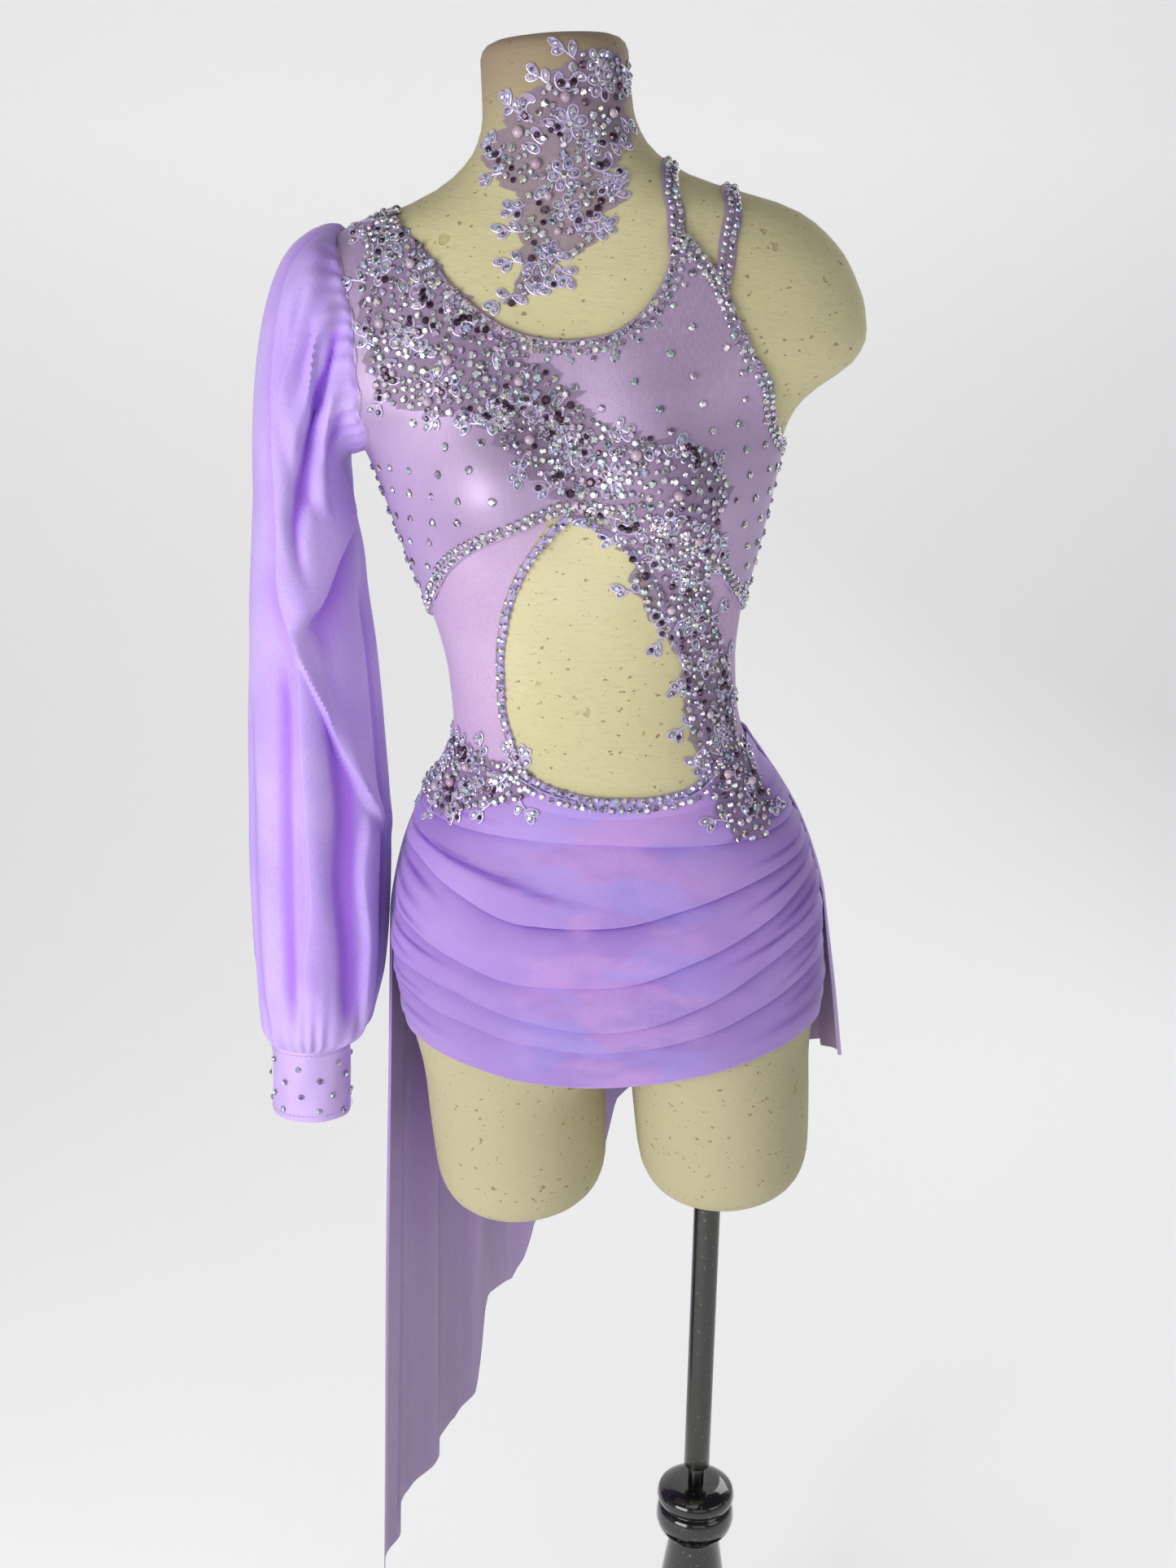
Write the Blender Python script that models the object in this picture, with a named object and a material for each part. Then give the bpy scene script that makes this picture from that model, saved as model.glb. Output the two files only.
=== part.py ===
# A lyrical dance costume with one bishop sleeve and a long back skirt, on its limbless dress form and stand.
# Metres, +Z up. The wearer faces -Y, so the wearer's left is +X. The origin is on the floor under the pole.
# The costume is cut from cloth walls that follow the form. Places on the form are given as an angle round it
# in degrees (0 at the centre front, 90 at the wearer's left side, 180 at the centre back) and a height.

import math

import bmesh
import bpy
import numpy as np
from mathutils import Matrix, Vector
from mathutils.bvhtree import BVHTree

SEAM_GAP = 0.0003
CURVED_SEAM_GAP = 0.0008    # where two pieces follow one curve with unlike points
FORM_GAP = 0.0008           # between the form and the cloth that lies on it
SATIN = 0.0014              # cloth thicknesses
MESH = 0.0010
SKIRT_MESH = 0.0012
BINDING = 0.0018
STRAP = 0.0018
LACE = 0.0016
LACE_RELIEF = 0.0022        # cords, pearls and large stones over the lace's ground

FORM_LEAN = math.radians(4.47)          # the form stands leaning to the wearer's right
FORM_PIVOT = Vector((-0.0775, 0.0, 0.70))

POLE_RADIUS = 0.01125
POLE_TOP = 0.660
POLE_FOOT = 0.336
ROD_RADIUS = 0.0072
BORE_GAP = 0.0003


def table(columns, *rows):
    return dict(zip(columns.split(), np.array(rows, float).T))


# The form's level sections. Depths are from the side line to the front and to the back.
SECTIONS = table(
    "height half_width front back squareness",
    (0.775, 0.1640, 0.0930, 0.1070, 2.30),
    (0.820, 0.1655, 0.0980, 0.1140, 2.25),
    (0.860, 0.1640, 0.0990, 0.1160, 2.20),
    (0.900, 0.1580, 0.0970, 0.1120, 2.20),
    (0.930, 0.1510, 0.0940, 0.1060, 2.20),
    (0.960, 0.1390, 0.0910, 0.0980, 2.20),
    (0.985, 0.1255, 0.0885, 0.0905, 2.20),
    (1.010, 0.1120, 0.0860, 0.0840, 2.20),
    (1.035, 0.1085, 0.0845, 0.0810, 2.20),
    (1.065, 0.1090, 0.0850, 0.0800, 2.20),
    (1.100, 0.1140, 0.0870, 0.0820, 2.20),
    (1.135, 0.1240, 0.0890, 0.0870, 2.20),
    (1.170, 0.1345, 0.0905, 0.0920, 2.20),
    (1.205, 0.1440, 0.0915, 0.0970, 2.20),
    (1.232, 0.1520, 0.0920, 0.1000, 2.20),
    (1.247, 0.1590, 0.0920, 0.1010, 2.20),
    (1.261, 0.1720, 0.0920, 0.1015, 2.20),
    (1.273, 0.1920, 0.0920, 0.1015, 2.20),
    (1.285, 0.2080, 0.0915, 0.1010, 2.20),
    (1.302, 0.2150, 0.0905, 0.1000, 2.20),
    (1.320, 0.2140, 0.0880, 0.0980, 2.20),
    (1.337, 0.2090, 0.0850, 0.0950, 2.20),
    (1.355, 0.2010, 0.0810, 0.0910, 2.20),
    (1.372, 0.1880, 0.0760, 0.0860, 2.15),
    (1.386, 0.1720, 0.0715, 0.0810, 2.10),
    (1.397, 0.1500, 0.0680, 0.0760, 2.10),
    (1.407, 0.1200, 0.0645, 0.0710, 2.05),
    (1.418, 0.0920, 0.0620, 0.0660, 2.00),
    (1.432, 0.0710, 0.0600, 0.0600, 2.00),
    (1.447, 0.0590, 0.0585, 0.0550, 2.00),
    (1.465, 0.0535, 0.0580, 0.0520, 2.00),
    (1.503, 0.0520, 0.0575, 0.0490, 2.00),
)
CUP_OUT = 0.066             # each cup's centre from the centre front
CUP_HEIGHT = 1.212
CUP_RISE = 0.036
CUP_WIDTH = 0.046
CUP_ABOVE = 0.062
CUP_BELOW = 0.042

# The neck's rounded top, the thigh stubs below the crotch, and the heights of the form's rings.
RING_HEIGHTS = (
    0.775, 0.820, 0.860, 0.900, 0.930, 0.960, 0.985, 1.010, 1.035, 1.065, 1.100, 1.135, 1.170, 1.192, 1.212,
    1.232, 1.249, 1.262, 1.274, 1.287, 1.304, 1.322, 1.340, 1.357, 1.373, 1.387, 1.398, 1.408, 1.420, 1.434,
    1.450, 1.470, 1.503,
)
NECK_CAP = table("height scale", (1.5110, 0.92), (1.5150, 0.70))
THIGH_CENTRE = 0.0845
THIGH_BACK = 0.004
THIGH_HALF_WIDTH = 0.0735
THIGH_HALF_DEPTH = 0.0850
THIGH_INSIDE = 0.0015       # from the middle plane to the thigh's inner side, at the crotch and when round
THIGH_INSIDE_ROUND = 0.0105
THIGHS = table(
    "height roundness scale",
    (0.762, 0.35, 1.00),
    (0.742, 0.80, 1.00),
    (0.715, 1.00, 1.00),
    (0.675, 1.00, 0.985),
    (0.647, 1.00, 0.96),
    (0.628, 1.00, 0.88),
    (0.616, 1.00, 0.71),
    (0.609, 1.00, 0.42),
)
ROUND_STEPS = 32            # points round one section of the form
CROTCH_STEPS = 4            # points across the crotch, from front to back
CROTCH_RISE = 0.006

# Outlines on the form, as angle and height.
BODICE_LOWER_EDGE = table(
    "angle height",
    (-90, 1.112), (-72.8, 1.122), (-57, 1.140), (-48, 1.154), (-28, 1.179), (-15, 1.190),
    (-2.3, 1.1975), (6.8, 1.1945), (17.9, 1.184), (28.8, 1.170), (39.7, 1.153), (52.8, 1.134),
    (71.3, 1.112), (90, 1.102),
)
RIGHT_ARMHOLE = table(
    "angle height",
    (-90, 1.240), (-71, 1.247), (-52, 1.270), (-43, 1.288), (-42, 1.310),
    (-43, 1.332), (-46, 1.348), (-51, 1.364), (-62, 1.381), (-75, 1.390), (-90, 1.394),
)
RIGHT_SHOULDER_TOP = 1.408
NECKLINE = table(
    "angle height",
    (-90, 1.408), (-54, 1.400), (-42, 1.391), (-30, 1.377), (-19.4, 1.3493),
    (-11.3, 1.3265), (-5.9, 1.317), (0, 1.3128), (4.7, 1.314), (10.2, 1.3234), (15.3, 1.341),
    (18.9, 1.359), (21.4, 1.376), (25.8, 1.376),
)
LEFT_ARMHOLE = table(
    "angle height",
    (90, 1.228), (73, 1.234), (51.3, 1.263), (34.9, 1.293), (30.6, 1.321),
    (28.9, 1.346), (25.8, 1.376),
)
BACK_NECKLINE = table(
    "angle height",
    (90, 1.228), (107, 1.234), (128, 1.258), (145, 1.288), (156, 1.304), (165, 1.313), (180, 1.318),
    (195, 1.328), (208, 1.343), (220, 1.365), (232, 1.386), (250, 1.401), (270, 1.408),
)
BACK_LOWER_EDGE = table("angle height", (90, 1.102), (120, 1.094), (180, 1.090), (240, 1.100), (270, 1.112))
BACK_WAIST = table("angle height", (90, 1.003), (180, 0.999), (270, 1.006))
CUT_OUT = table(
    "angle height",
    (-2.3, 1.192), (-10.2, 1.173), (-18, 1.149), (-26.7, 1.116), (-32.2, 1.085), (-33.9, 1.053),
    (-31.2, 1.029), (-24.7, 1.006), (-10.6, 0.992), (2.9, 0.984), (15.1, 0.982), (26.8, 0.984),
    (36.5, 0.991), (43.0, 1.008), (43.8, 1.0235), (39.2, 1.056), (32.2, 1.089), (28.1, 1.108),
    (19.2, 1.140), (8.8, 1.173),
)
CUT_OUT_MIDDLE = (5.0, 1.075)
BINDING_WIDTH = 0.0045
RIGHT_MESH_EDGE = table(
    "angle height",
    (-29.5, 1.0035), (-34.8, 1.027), (-37.9, 1.053), (-35.9, 1.086), (-30.1, 1.118),
    (-21.1, 1.151), (-13.1, 1.1755), (-7.6, 1.1925),
)
LEFT_MESH_EDGE = table(
    "angle height",
    (46.8, 1.000), (48.3, 1.0235), (43.3, 1.057), (36.1, 1.090), (31.5, 1.110),
    (22.3, 1.143), (12.2, 1.1755), (5.2, 1.1935),
)
HIP_BAND_TOP = table(
    "angle height",
    (-90, 1.006), (-45, 1.005), (-29.5, 1.003), (-26.8, 1.0000), (-11.7, 0.9864), (2.9, 0.9784),
    (15.1, 0.9764), (27.8, 0.9784), (38.7, 0.9858), (46.8, 0.9995), (60, 1.0005), (90, 1.003),
)
SKIRT_TOP = table(
    "angle height",
    (-90, 0.997), (-57, 0.989), (-37, 0.984), (-21, 0.979), (-8, 0.971), (5, 0.967),
    (19, 0.966), (38, 0.970), (60, 0.980), (90, 0.989),
)
SIDE_SEAM = 0.25            # half the width in degrees of the gap at a side seam
FLAT_METRES_PER_DEGREE = 0.0021     # the form's surface laid flat, while a panel's grid is evened out
RELAX_STEPS = 1500
RELAX_SHARE = 0.5

# The front skirt's drape folds: where each crease meets the right seam, hangs lowest and meets the left seam.
SKIRT_FOLDS = table(
    "right lowest left depth",
    (0.955, 0.946, 0.950, 0.0030),
    (0.944, 0.906, 0.938, 0.0050),
    (0.930, 0.877, 0.923, 0.0090),
    (0.882, 0.832, 0.901, 0.0100),
    (0.864, 0.800, 0.872, 0.0100),
    (0.836, 0.780, 0.836, 0.0085),
    (0.806, 0.765, 0.800, 0.0060),
    (0.790, 0.7527, 0.775, 0.0045),
)
FOLD_SAG = 1.7              # how squarely a crease hangs: 1 is a V, 2 a parabola
FOLD_FULLNESS = 1.7         # above 1 the roll is fullest low down
FOLD_PHASES = (0.0, 0.40, 0.80)
SEAM_SHARE = 0.35           # how much of a fold's depth is left at the side seams
SEAM_REACH = 0.4            # how far from a side seam the folds reach their depth, as a share of the way in
SKIRT_CROWDING = 0.35       # how much closer together the grid's columns lie at the side seams
SKIRT_EASE = 0.0035         # how far the front skirt stands off the thighs under its folds
SKIRT_HANGS_FROM = 0.93
SKIRT_HANGS_OVER = 0.06

# The back skirt's hem as a height over the floor, and how far it flares for each metre it falls.
TRAIN_HANGS_FROM = 0.860
TRAIN_OFF_SIDES = 0.0055
TRAIN_OFF_BACK = 0.0150
TRAIN_HEM = table(
    "angle height flare",
    (90.4, 0.760, 0.10), (97, 0.737, 0.14), (112, 0.722, 0.10), (135, 0.690, 0.06), (160, 0.645, 0.05),
    (173, 0.631, 0.05), (177, 0.619, 0.05), (180, 0.552, 0.05), (190, 0.528, 0.05), (197, 0.505, 0.04),
    (201, 0.480, 0.04), (208, 0.437, 0.04), (214, 0.421, 0.03), (218, 0.345, 0.03), (240, 0.288, 0.02),
    (262, 0.222, 0.02), (269.6, 0.205, 0.025),
)
TRAIN_FOLDS = 9.5
TRAIN_FOLD_DEPTH = 0.0110
TRAIN_FOLD_AT_HIP = 0.45    # how much of the folds' depth is there where the cloth leaves the hips
TRAIN_FOLD_AT_SIDES = 0.20  # how much of it is there at the side seams
TRAIN_FULL_DEPTH_AT = 0.67  # how far down the folds reach their depth, as a share of the hanging length
TRAIN_CALM = 25             # degrees from a side seam within which the folds and the fullness fade

# The sleeve's level sections under the arm, down to the cuff, in the world.
SLEEVE = table(
    "height centre_x half_width half_depth",
    (1.195, -0.3240, 0.0355, 0.0700),
    (1.127, -0.3245, 0.0405, 0.0700),
    (1.070, -0.3225, 0.0455, 0.0690),
    (1.012, -0.3220, 0.0495, 0.0680),
    (0.952, -0.3210, 0.0520, 0.0670),
    (0.905, -0.3215, 0.0530, 0.0660),
    (0.848, -0.3225, 0.0515, 0.0640),
    (0.806, -0.3240, 0.0490, 0.0600),
    (0.788, -0.3253, 0.0465, 0.0550),
    (0.769, -0.3269, 0.0425, 0.0470),
    (0.755, -0.3285, 0.0365, 0.0350),
    (0.7450, -0.3310, 0.0318, 0.0262),
)
SLEEVE_MIDDLE_Y = -0.004
SLEEVE_GATHERS = 8
ARMHOLE_STEPS = 12          # points along one half of the armhole
SLEEVE_GATHER_DEPTH = 0.0035
SLEEVE_OFF_FORM = 0.0018
SLEEVE_HEAD_STEPS = (0, 0.12, 0.30, 0.50, 0.75)
SLEEVE_SPILL = 0.15         # how much the sleeve's head leans up and out of the armhole, and more at the top
SLEEVE_SPILL_AT_TOP = 0.30
SLEEVE_HEAD_REACH = 0.020   # how straight it leaves the armhole, and that for each metre it hangs
SLEEVE_HEAD_SHARE = 0.17
SLEEVE_HANG_SHARE = 0.52
ARMHOLE_MIDDLE = (-90.0, 1.318)
ARMHOLE_INSET = 0.0024
CUFF_TOP = 0.7446
CUFF_FOOT = 0.6825
CUFF_MIDDLE_X = -0.3320
CUFF_HALF_WIDTH = 0.0305
CUFF_HALF_DEPTH = 0.0245

# The raised lace: its right and lower edge and its left and upper edge, from the shoulder to the hip.
MAIN_LACE = table(
    "angle_a height_a angle_b height_b",
    (-76, 1.4035, -64, 1.4045),
    (-59, 1.395, -42, 1.393),
    (-50, 1.381, -31, 1.379),
    (-42.5, 1.350, -20.5, 1.354),
    (-38.5, 1.310, -14, 1.331),
    (-38.5, 1.282, -8.5, 1.310),
    (-30, 1.272, -1.5, 1.287),
    (-21, 1.264, 1.5, 1.268),
    (-17, 1.248, 6.0, 1.256),
    (-9, 1.222, 14.5, 1.248),
    (-2, 1.203, 30, 1.238),
    (5, 1.186, 43, 1.206),
    (11, 1.168, 42, 1.170),
    (16, 1.130, 43, 1.142),
    (28, 1.100, 49, 1.110),
    (36, 1.069, 62, 1.080),
    (37, 1.039, 71, 1.045),
    (40, 1.003, 70, 1.005),
    (37, 0.966, 64, 0.966),
    (40, 0.940, 53, 0.936),
)
HIP_LACE = table(
    "angle_a height_a angle_b height_b",
    (-88, 0.976, -88, 1.008),
    (-70, 0.972, -70, 1.021),
    (-55, 0.968, -55, 1.018),
    (-42, 0.977, -42, 1.012),
    (-30, 0.982, -30, 1.008),
    (-22, 0.988, -22, 1.003),
)
NECK_LACE = table(
    "angle_a height_a angle_b height_b",
    (20, 1.501, 58, 1.500),
    (6, 1.491, 66, 1.488),
    (-10, 1.480, 63, 1.475),
    (-30, 1.468, 62, 1.462),
    (-45, 1.455, 58, 1.448),
    (-56, 1.443, 36, 1.436),
    (-36, 1.426, 26, 1.422),
    (-16, 1.410, 22, 1.408),
    (-11, 1.396, 10, 1.395),
    (-9, 1.382, 6, 1.376),
    (-7.5, 1.365, -1, 1.365),
    (-8.5, 1.350, -3.5, 1.352),
    (-10.5, 1.340, -8.5, 1.339),
)
RELIEF_ALONG = 1.9          # radians from one row to the next, and from one column to the next
RELIEF_ACROSS = 2.3
LACE_LOBES = 0.07           # how far the edge's lobes stand out, as a share of the lace's width

STRAP_WIDTH = 0.0130
INNER_STRAP = table(
    "angle height",
    (22.5, 1.368), (23.6, 1.377), (30.6, 1.3985), (45, 1.412), (66, 1.4225), (90, 1.4265), (114, 1.4225),
    (135, 1.411), (150, 1.390), (157, 1.362), (160, 1.335), (160.5, 1.318), (160.5, 1.300),
)
OUTER_STRAP = table(
    "angle height",
    (27.6, 1.338), (29.2, 1.347), (36.3, 1.375), (53.6, 1.399), (72, 1.4055), (90, 1.4072), (108, 1.4055),
    (126, 1.399), (143, 1.376), (149, 1.346), (151.5, 1.318), (152, 1.296), (152, 1.284),
)

# The stand's turned column, as radius and height, and its round foot.
COLUMN = table(
    "radius height",
    (0.0125, 0.3180), (0.0250, 0.3165), (0.0325, 0.3120), (0.0342, 0.3060), (0.0322, 0.3000),
    (0.0295, 0.2980), (0.0335, 0.2920), (0.0345, 0.2840), (0.0320, 0.2740), (0.0220, 0.2630),
    (0.0275, 0.2250), (0.0340, 0.1700), (0.0410, 0.1050), (0.0560, 0.0620), (0.0780, 0.0500),
    (0.0800, 0.0453),
)
FOOT = table(
    "radius height",
    (0.0800, 0.0450), (0.1400, 0.0365), (0.1830, 0.0245), (0.1930, 0.0160), (0.1950, 0.0080),
    (0.1930, 0.0000),
)
TURNED_STEPS = 24


def steady(xs, ys, x):
    """A smooth curve through the points (xs, ys) that never swings past them."""
    x = np.clip(np.asarray(x, float), xs[0], xs[-1])
    step = np.diff(xs)
    slope = np.diff(ys) / step
    tangent = np.concatenate([slope[:1], np.zeros(len(xs) - 2), slope[-1:]])
    before, after = slope[:-1], slope[1:]
    same_way = before * after > 0
    weight_a = 2 * step[1:] + step[:-1]
    weight_b = step[1:] + 2 * step[:-1]
    safe_before = np.where(same_way, before, 1)
    safe_after = np.where(same_way, after, 1)
    mean = (weight_a + weight_b) / (weight_a / safe_before + weight_b / safe_after)
    tangent[1:-1] = np.where(same_way, mean, 0)
    i = np.clip(np.searchsorted(xs, x) - 1, 0, len(step) - 1)
    t = (x - xs[i]) / step[i]
    return (
        ys[i] * (1 + 2 * t) * (1 - t) ** 2
        + step[i] * tangent[i] * t * (1 - t) ** 2
        + ys[i + 1] * t * t * (3 - 2 * t)
        + step[i] * tangent[i + 1] * t * t * (t - 1)
    )


def ease(x):
    x = np.clip(x, 0, 1)
    return x * x * (3 - 2 * x)


def power(value, exponent):
    return np.sign(value) * np.abs(value) ** exponent


def unit(vectors):
    return vectors / np.linalg.norm(vectors, axis=-1, keepdims=True)


def bare_surface(angle, height):
    """Points on the form, in the form's own upright frame."""
    angle, height = np.broadcast_arrays(np.radians(angle), np.asarray(height, float))
    half, front, back, square = (
        steady(SECTIONS["height"], SECTIONS[column], height)
        for column in ("half_width", "front", "back", "squareness")
    )
    across = half * power(np.sin(angle), 2 / square)
    ahead = power(np.cos(angle), 2 / square)
    depth = np.where(ahead > 0, front, back)
    drop = np.where(height > CUP_HEIGHT, CUP_ABOVE, CUP_BELOW)
    rise = CUP_RISE * np.exp(-(((height - CUP_HEIGHT) / drop) ** 2))
    cups = sum(np.exp(-(((across - side * CUP_OUT) / CUP_WIDTH) ** 2)) for side in (-1, 1))
    bulge = rise * cups * np.clip(ahead, 0, 1) ** 0.6
    return np.stack([across, -depth * ahead - bulge, height], axis=-1)


def outward(angle, height):
    """The directions that point straight out of the form's surface."""
    turn, lift = 1.0, 0.002
    along = bare_surface(angle + turn, height) - bare_surface(angle - turn, height)
    upward = bare_surface(angle, height + lift) - bare_surface(angle, height - lift)
    return unit(np.cross(along, upward))


def surface(angle, height, out):
    """Points that stand out from the form's surface by a distance."""
    angle, height, out = np.broadcast_arrays(angle, height, out)
    return bare_surface(angle, height) + outward(angle, height) * out[..., None]


def leaning(points):
    """Turns points from the form's upright frame into the world."""
    across, above = points[..., 0], points[..., 2] - FORM_PIVOT.z
    cosine, sine = math.cos(FORM_LEAN), math.sin(FORM_LEAN)
    world_x = FORM_PIVOT.x + across * cosine - above * sine
    world_z = FORM_PIVOT.z + across * sine + above * cosine
    return np.stack([world_x, points[..., 1], world_z], axis=-1)


def lengths_along(points):
    steps = np.linalg.norm(np.diff(points, axis=0), axis=1)
    return np.concatenate([[0], np.cumsum(steps)])


def spread(outline, count):
    """The outline as evenly spaced (angle, height) pairs, moved onto each of its own points."""
    distance = lengths_along(bare_surface(outline["angle"], outline["height"]))
    wanted = np.linspace(0, distance[-1], count)
    for own in distance:
        wanted[np.argmin(np.abs(wanted - own))] = own
    columns = [steady(distance, outline[column], wanted) for column in ("angle", "height")]
    return np.stack(columns, axis=-1)


def joined(*outlines):
    return {column: np.concatenate([o[column] for o in outlines]) for column in ("angle", "height")}


def rows_of(outline, first, last):
    return {column: values[first:last] for column, values in outline.items()}


def side_line(angle, low, high):
    return table("angle height", (angle, low), (angle, high))


def between_edges(bottom, top, left, right):
    """A grid of (angle, height) pairs filled in between four edges."""
    s = np.linspace(0, 1, len(bottom))[None, :, None]
    t = np.linspace(0, 1, len(left))[:, None, None]
    across = (1 - t) * bottom[None] + t * top[None]
    upward = (1 - s) * left[:, None] + s * right[:, None]
    low = (1 - s) * bottom[0] + s * bottom[-1]
    high = (1 - s) * top[0] + s * top[-1]
    return across + upward - (1 - t) * low - t * high


def relaxed(grid):
    """Moves the inner points of a grid until its lines cross nowhere, by Winslow's equations. The edges stay."""
    plan = grid * np.array([FLAT_METRES_PER_DEGREE, 1.0])
    for _ in range(RELAX_STEPS):
        along = (plan[1:-1, 2:] - plan[1:-1, :-2]) / 2
        upward = (plan[2:, 1:-1] - plan[:-2, 1:-1]) / 2
        alpha = (upward**2).sum(-1, keepdims=True)
        beta = (along * upward).sum(-1, keepdims=True)
        gamma = (along**2).sum(-1, keepdims=True)
        twist = (plan[2:, 2:] - plan[2:, :-2] - plan[:-2, 2:] + plan[:-2, :-2]) / 4
        beside = plan[1:-1, 2:] + plan[1:-1, :-2]
        above = plan[2:, 1:-1] + plan[:-2, 1:-1]
        wanted = (alpha * beside + gamma * above - 2 * beta * twist) / (2 * (alpha + gamma))
        plan[1:-1, 1:-1] += RELAX_SHARE * (wanted - plan[1:-1, 1:-1])
    return plan / np.array([FLAT_METRES_PER_DEGREE, 1.0])


def material(name, colour, roughness, metallic=0.0):
    made = bpy.data.materials.new(name)
    made.use_nodes = True
    shader = made.node_tree.nodes["Principled BSDF"]
    shader.inputs["Base Color"].default_value = (*colour, 1)
    shader.inputs["Roughness"].default_value = roughness
    shader.inputs["Metallic"].default_value = metallic
    made.diffuse_color = (*colour, 1)
    return made


def add_object(name, points, faces, finish, parent=None):
    mesh = bpy.data.meshes.new(name)
    mesh.from_pydata([tuple(p) for p in points], [], faces)
    work = bmesh.new()
    work.from_mesh(mesh)
    bmesh.ops.recalc_face_normals(work, faces=work.faces)
    bmesh.ops.triangulate(work, faces=work.faces, quad_method="SHORT_EDGE")
    work.to_mesh(mesh)
    work.free()
    mesh.materials.append(finish)
    mesh.shade_smooth()
    mesh.set_sharp_from_angle(angle=math.radians(40))
    made = bpy.data.objects.new(name, mesh)
    made.parent = parent
    bpy.context.scene.collection.objects.link(made)
    return made


def wall(name, inner, outer, finish, parent=None, closed=False):
    """One closed cloth wall between two grids of points. A closed wall runs round, like a sleeve."""
    rows, columns = inner.shape[:2]
    points = np.concatenate([inner.reshape(-1, 3), outer.reshape(-1, 3)])

    def at(row, column, side):
        return side * rows * columns + row * columns + column % columns

    def strip(path):
        for (row, column), (next_row, next_column) in zip(path, path[1:]):
            edge = [at(row, column, 0), at(next_row, next_column, 0)]
            faces.append(edge + [at(next_row, next_column, 1), at(row, column, 1)])

    faces = []
    span = columns if closed else columns - 1
    for row in range(rows - 1):
        for column in range(span):
            square = [(row, column), (row, column + 1), (row + 1, column + 1), (row + 1, column)]
            faces.append([at(r, c, 1) for r, c in square])
            faces.append([at(r, c, 0) for r, c in reversed(square)])
    for row in (0, rows - 1):
        strip([(row, column) for column in range(span + 1)])
    if not closed:
        for column in (0, columns - 1):
            strip([(row, column) for row in range(rows)])
    return add_object(name, points, faces, finish, parent)


def tree_of(made):
    """What a later piece is laid on, in the form's frame."""
    mesh = made.data
    return BVHTree.FromPolygons([v.co for v in mesh.vertices], [p.vertices for p in mesh.polygons])


def sample_weights():
    """Where a square of a grid is sampled, as weights of its corners: its corners, edges and diagonals."""
    weights = list(np.eye(4))
    for first in range(4):
        for second in range(first):
            for share in (0.2, 0.4, 0.6, 0.8):
                weights.append(np.eye(4)[first] * share + np.eye(4)[second] * (1 - share))
        weights.append((1 - np.eye(4)[first]) / 3)
    return weights


def laid_on(bare, away, out, below, closed=False, level_across=False):
    """How far to lift a grid of points along their directions, so that its flat faces clear what is below."""
    look_from = 0.04
    out = np.array(np.broadcast_to(out, bare.shape[:2]), float)
    rows, columns = out.shape
    weights = sample_weights()
    for _ in range(14):
        places = bare + away * out[..., None]
        lift = np.zeros_like(out)
        for row in range(rows - 1):
            for column in range(columns if closed else columns - 1):
                after = (column + 1) % columns
                corners = [(row, column), (row, after), (row + 1, column), (row + 1, after)]
                for weight in weights:
                    place = sum(w * places[c] for w, c in zip(weight, corners))
                    facing = unit(sum(w * away[c] for w, c in zip(weight, corners)))
                    start = Vector(place + facing * look_from)
                    for tree in below:
                        distance = tree.ray_cast(start, Vector(-facing), 2 * look_from)[3]
                        if distance is None or distance - look_from > FORM_GAP:
                            continue
                        short = FORM_GAP + look_from - distance
                        for w, corner in zip(weight, corners):
                            if w:
                                lift[corner] = max(lift[corner], short)
        if level_across:
            lift[:] = lift.max(axis=0)
        if lift.max() < 1e-6:
            break
        out += lift
    return out


def panel(name, grid, thickness, finish, parent, below):
    """A cloth panel that lies on the form."""
    angle, height = grid[..., 0], grid[..., 1]
    bare, away = bare_surface(angle, height), outward(angle, height)
    out = laid_on(bare, away, FORM_GAP, below)[..., None]
    return wall(name, bare + away * out, bare + away * (out + thickness), finish, parent)


def turned(name, profile, finish):
    """A solid turned round the pole's axis, from its profile listed from the top down."""
    points = []
    for radius, height in zip(profile["radius"], profile["height"]):
        for step in range(TURNED_STEPS):
            angle = 2 * math.pi * step / TURNED_STEPS
            points.append((radius * math.cos(angle), radius * math.sin(angle), height))
    faces = []
    rings = len(profile["radius"])
    for ring in range(rings - 1):
        for step in range(TURNED_STEPS):
            after = (step + 1) % TURNED_STEPS
            a, b = ring * TURNED_STEPS, (ring + 1) * TURNED_STEPS
            faces.append([a + step, a + after, b + after, b + step])
    faces.append(list(range(TURNED_STEPS)))
    faces.append([(rings - 1) * TURNED_STEPS + step for step in reversed(range(TURNED_STEPS))])
    return add_object(name, points, faces, finish)


def thigh_loop(above, side, row):
    """One level loop of a thigh stub, between the half section above it and an ellipse."""
    centre = np.array([side * THIGH_CENTRE, THIGH_BACK])
    away = above[:, :2] - centre
    turn = np.arctan2(away[:, 1] / THIGH_HALF_DEPTH, away[:, 0] / THIGH_HALF_WIDTH)
    ellipse = centre + np.stack([THIGH_HALF_WIDTH * np.cos(turn), THIGH_HALF_DEPTH * np.sin(turn)], axis=-1)
    roundness, scale = THIGHS["roundness"][row], THIGHS["scale"][row]
    plan = above[:, :2] * (1 - roundness) + ellipse * roundness
    inside = THIGH_INSIDE * (1 - roundness) + THIGH_INSIDE_ROUND * roundness
    plan[:, 0] = side * np.maximum(side * plan[:, 0], inside)
    plan = centre + (plan - centre) * scale
    return np.column_stack([plan, np.full(len(above), THIGHS["height"][row])])


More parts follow.
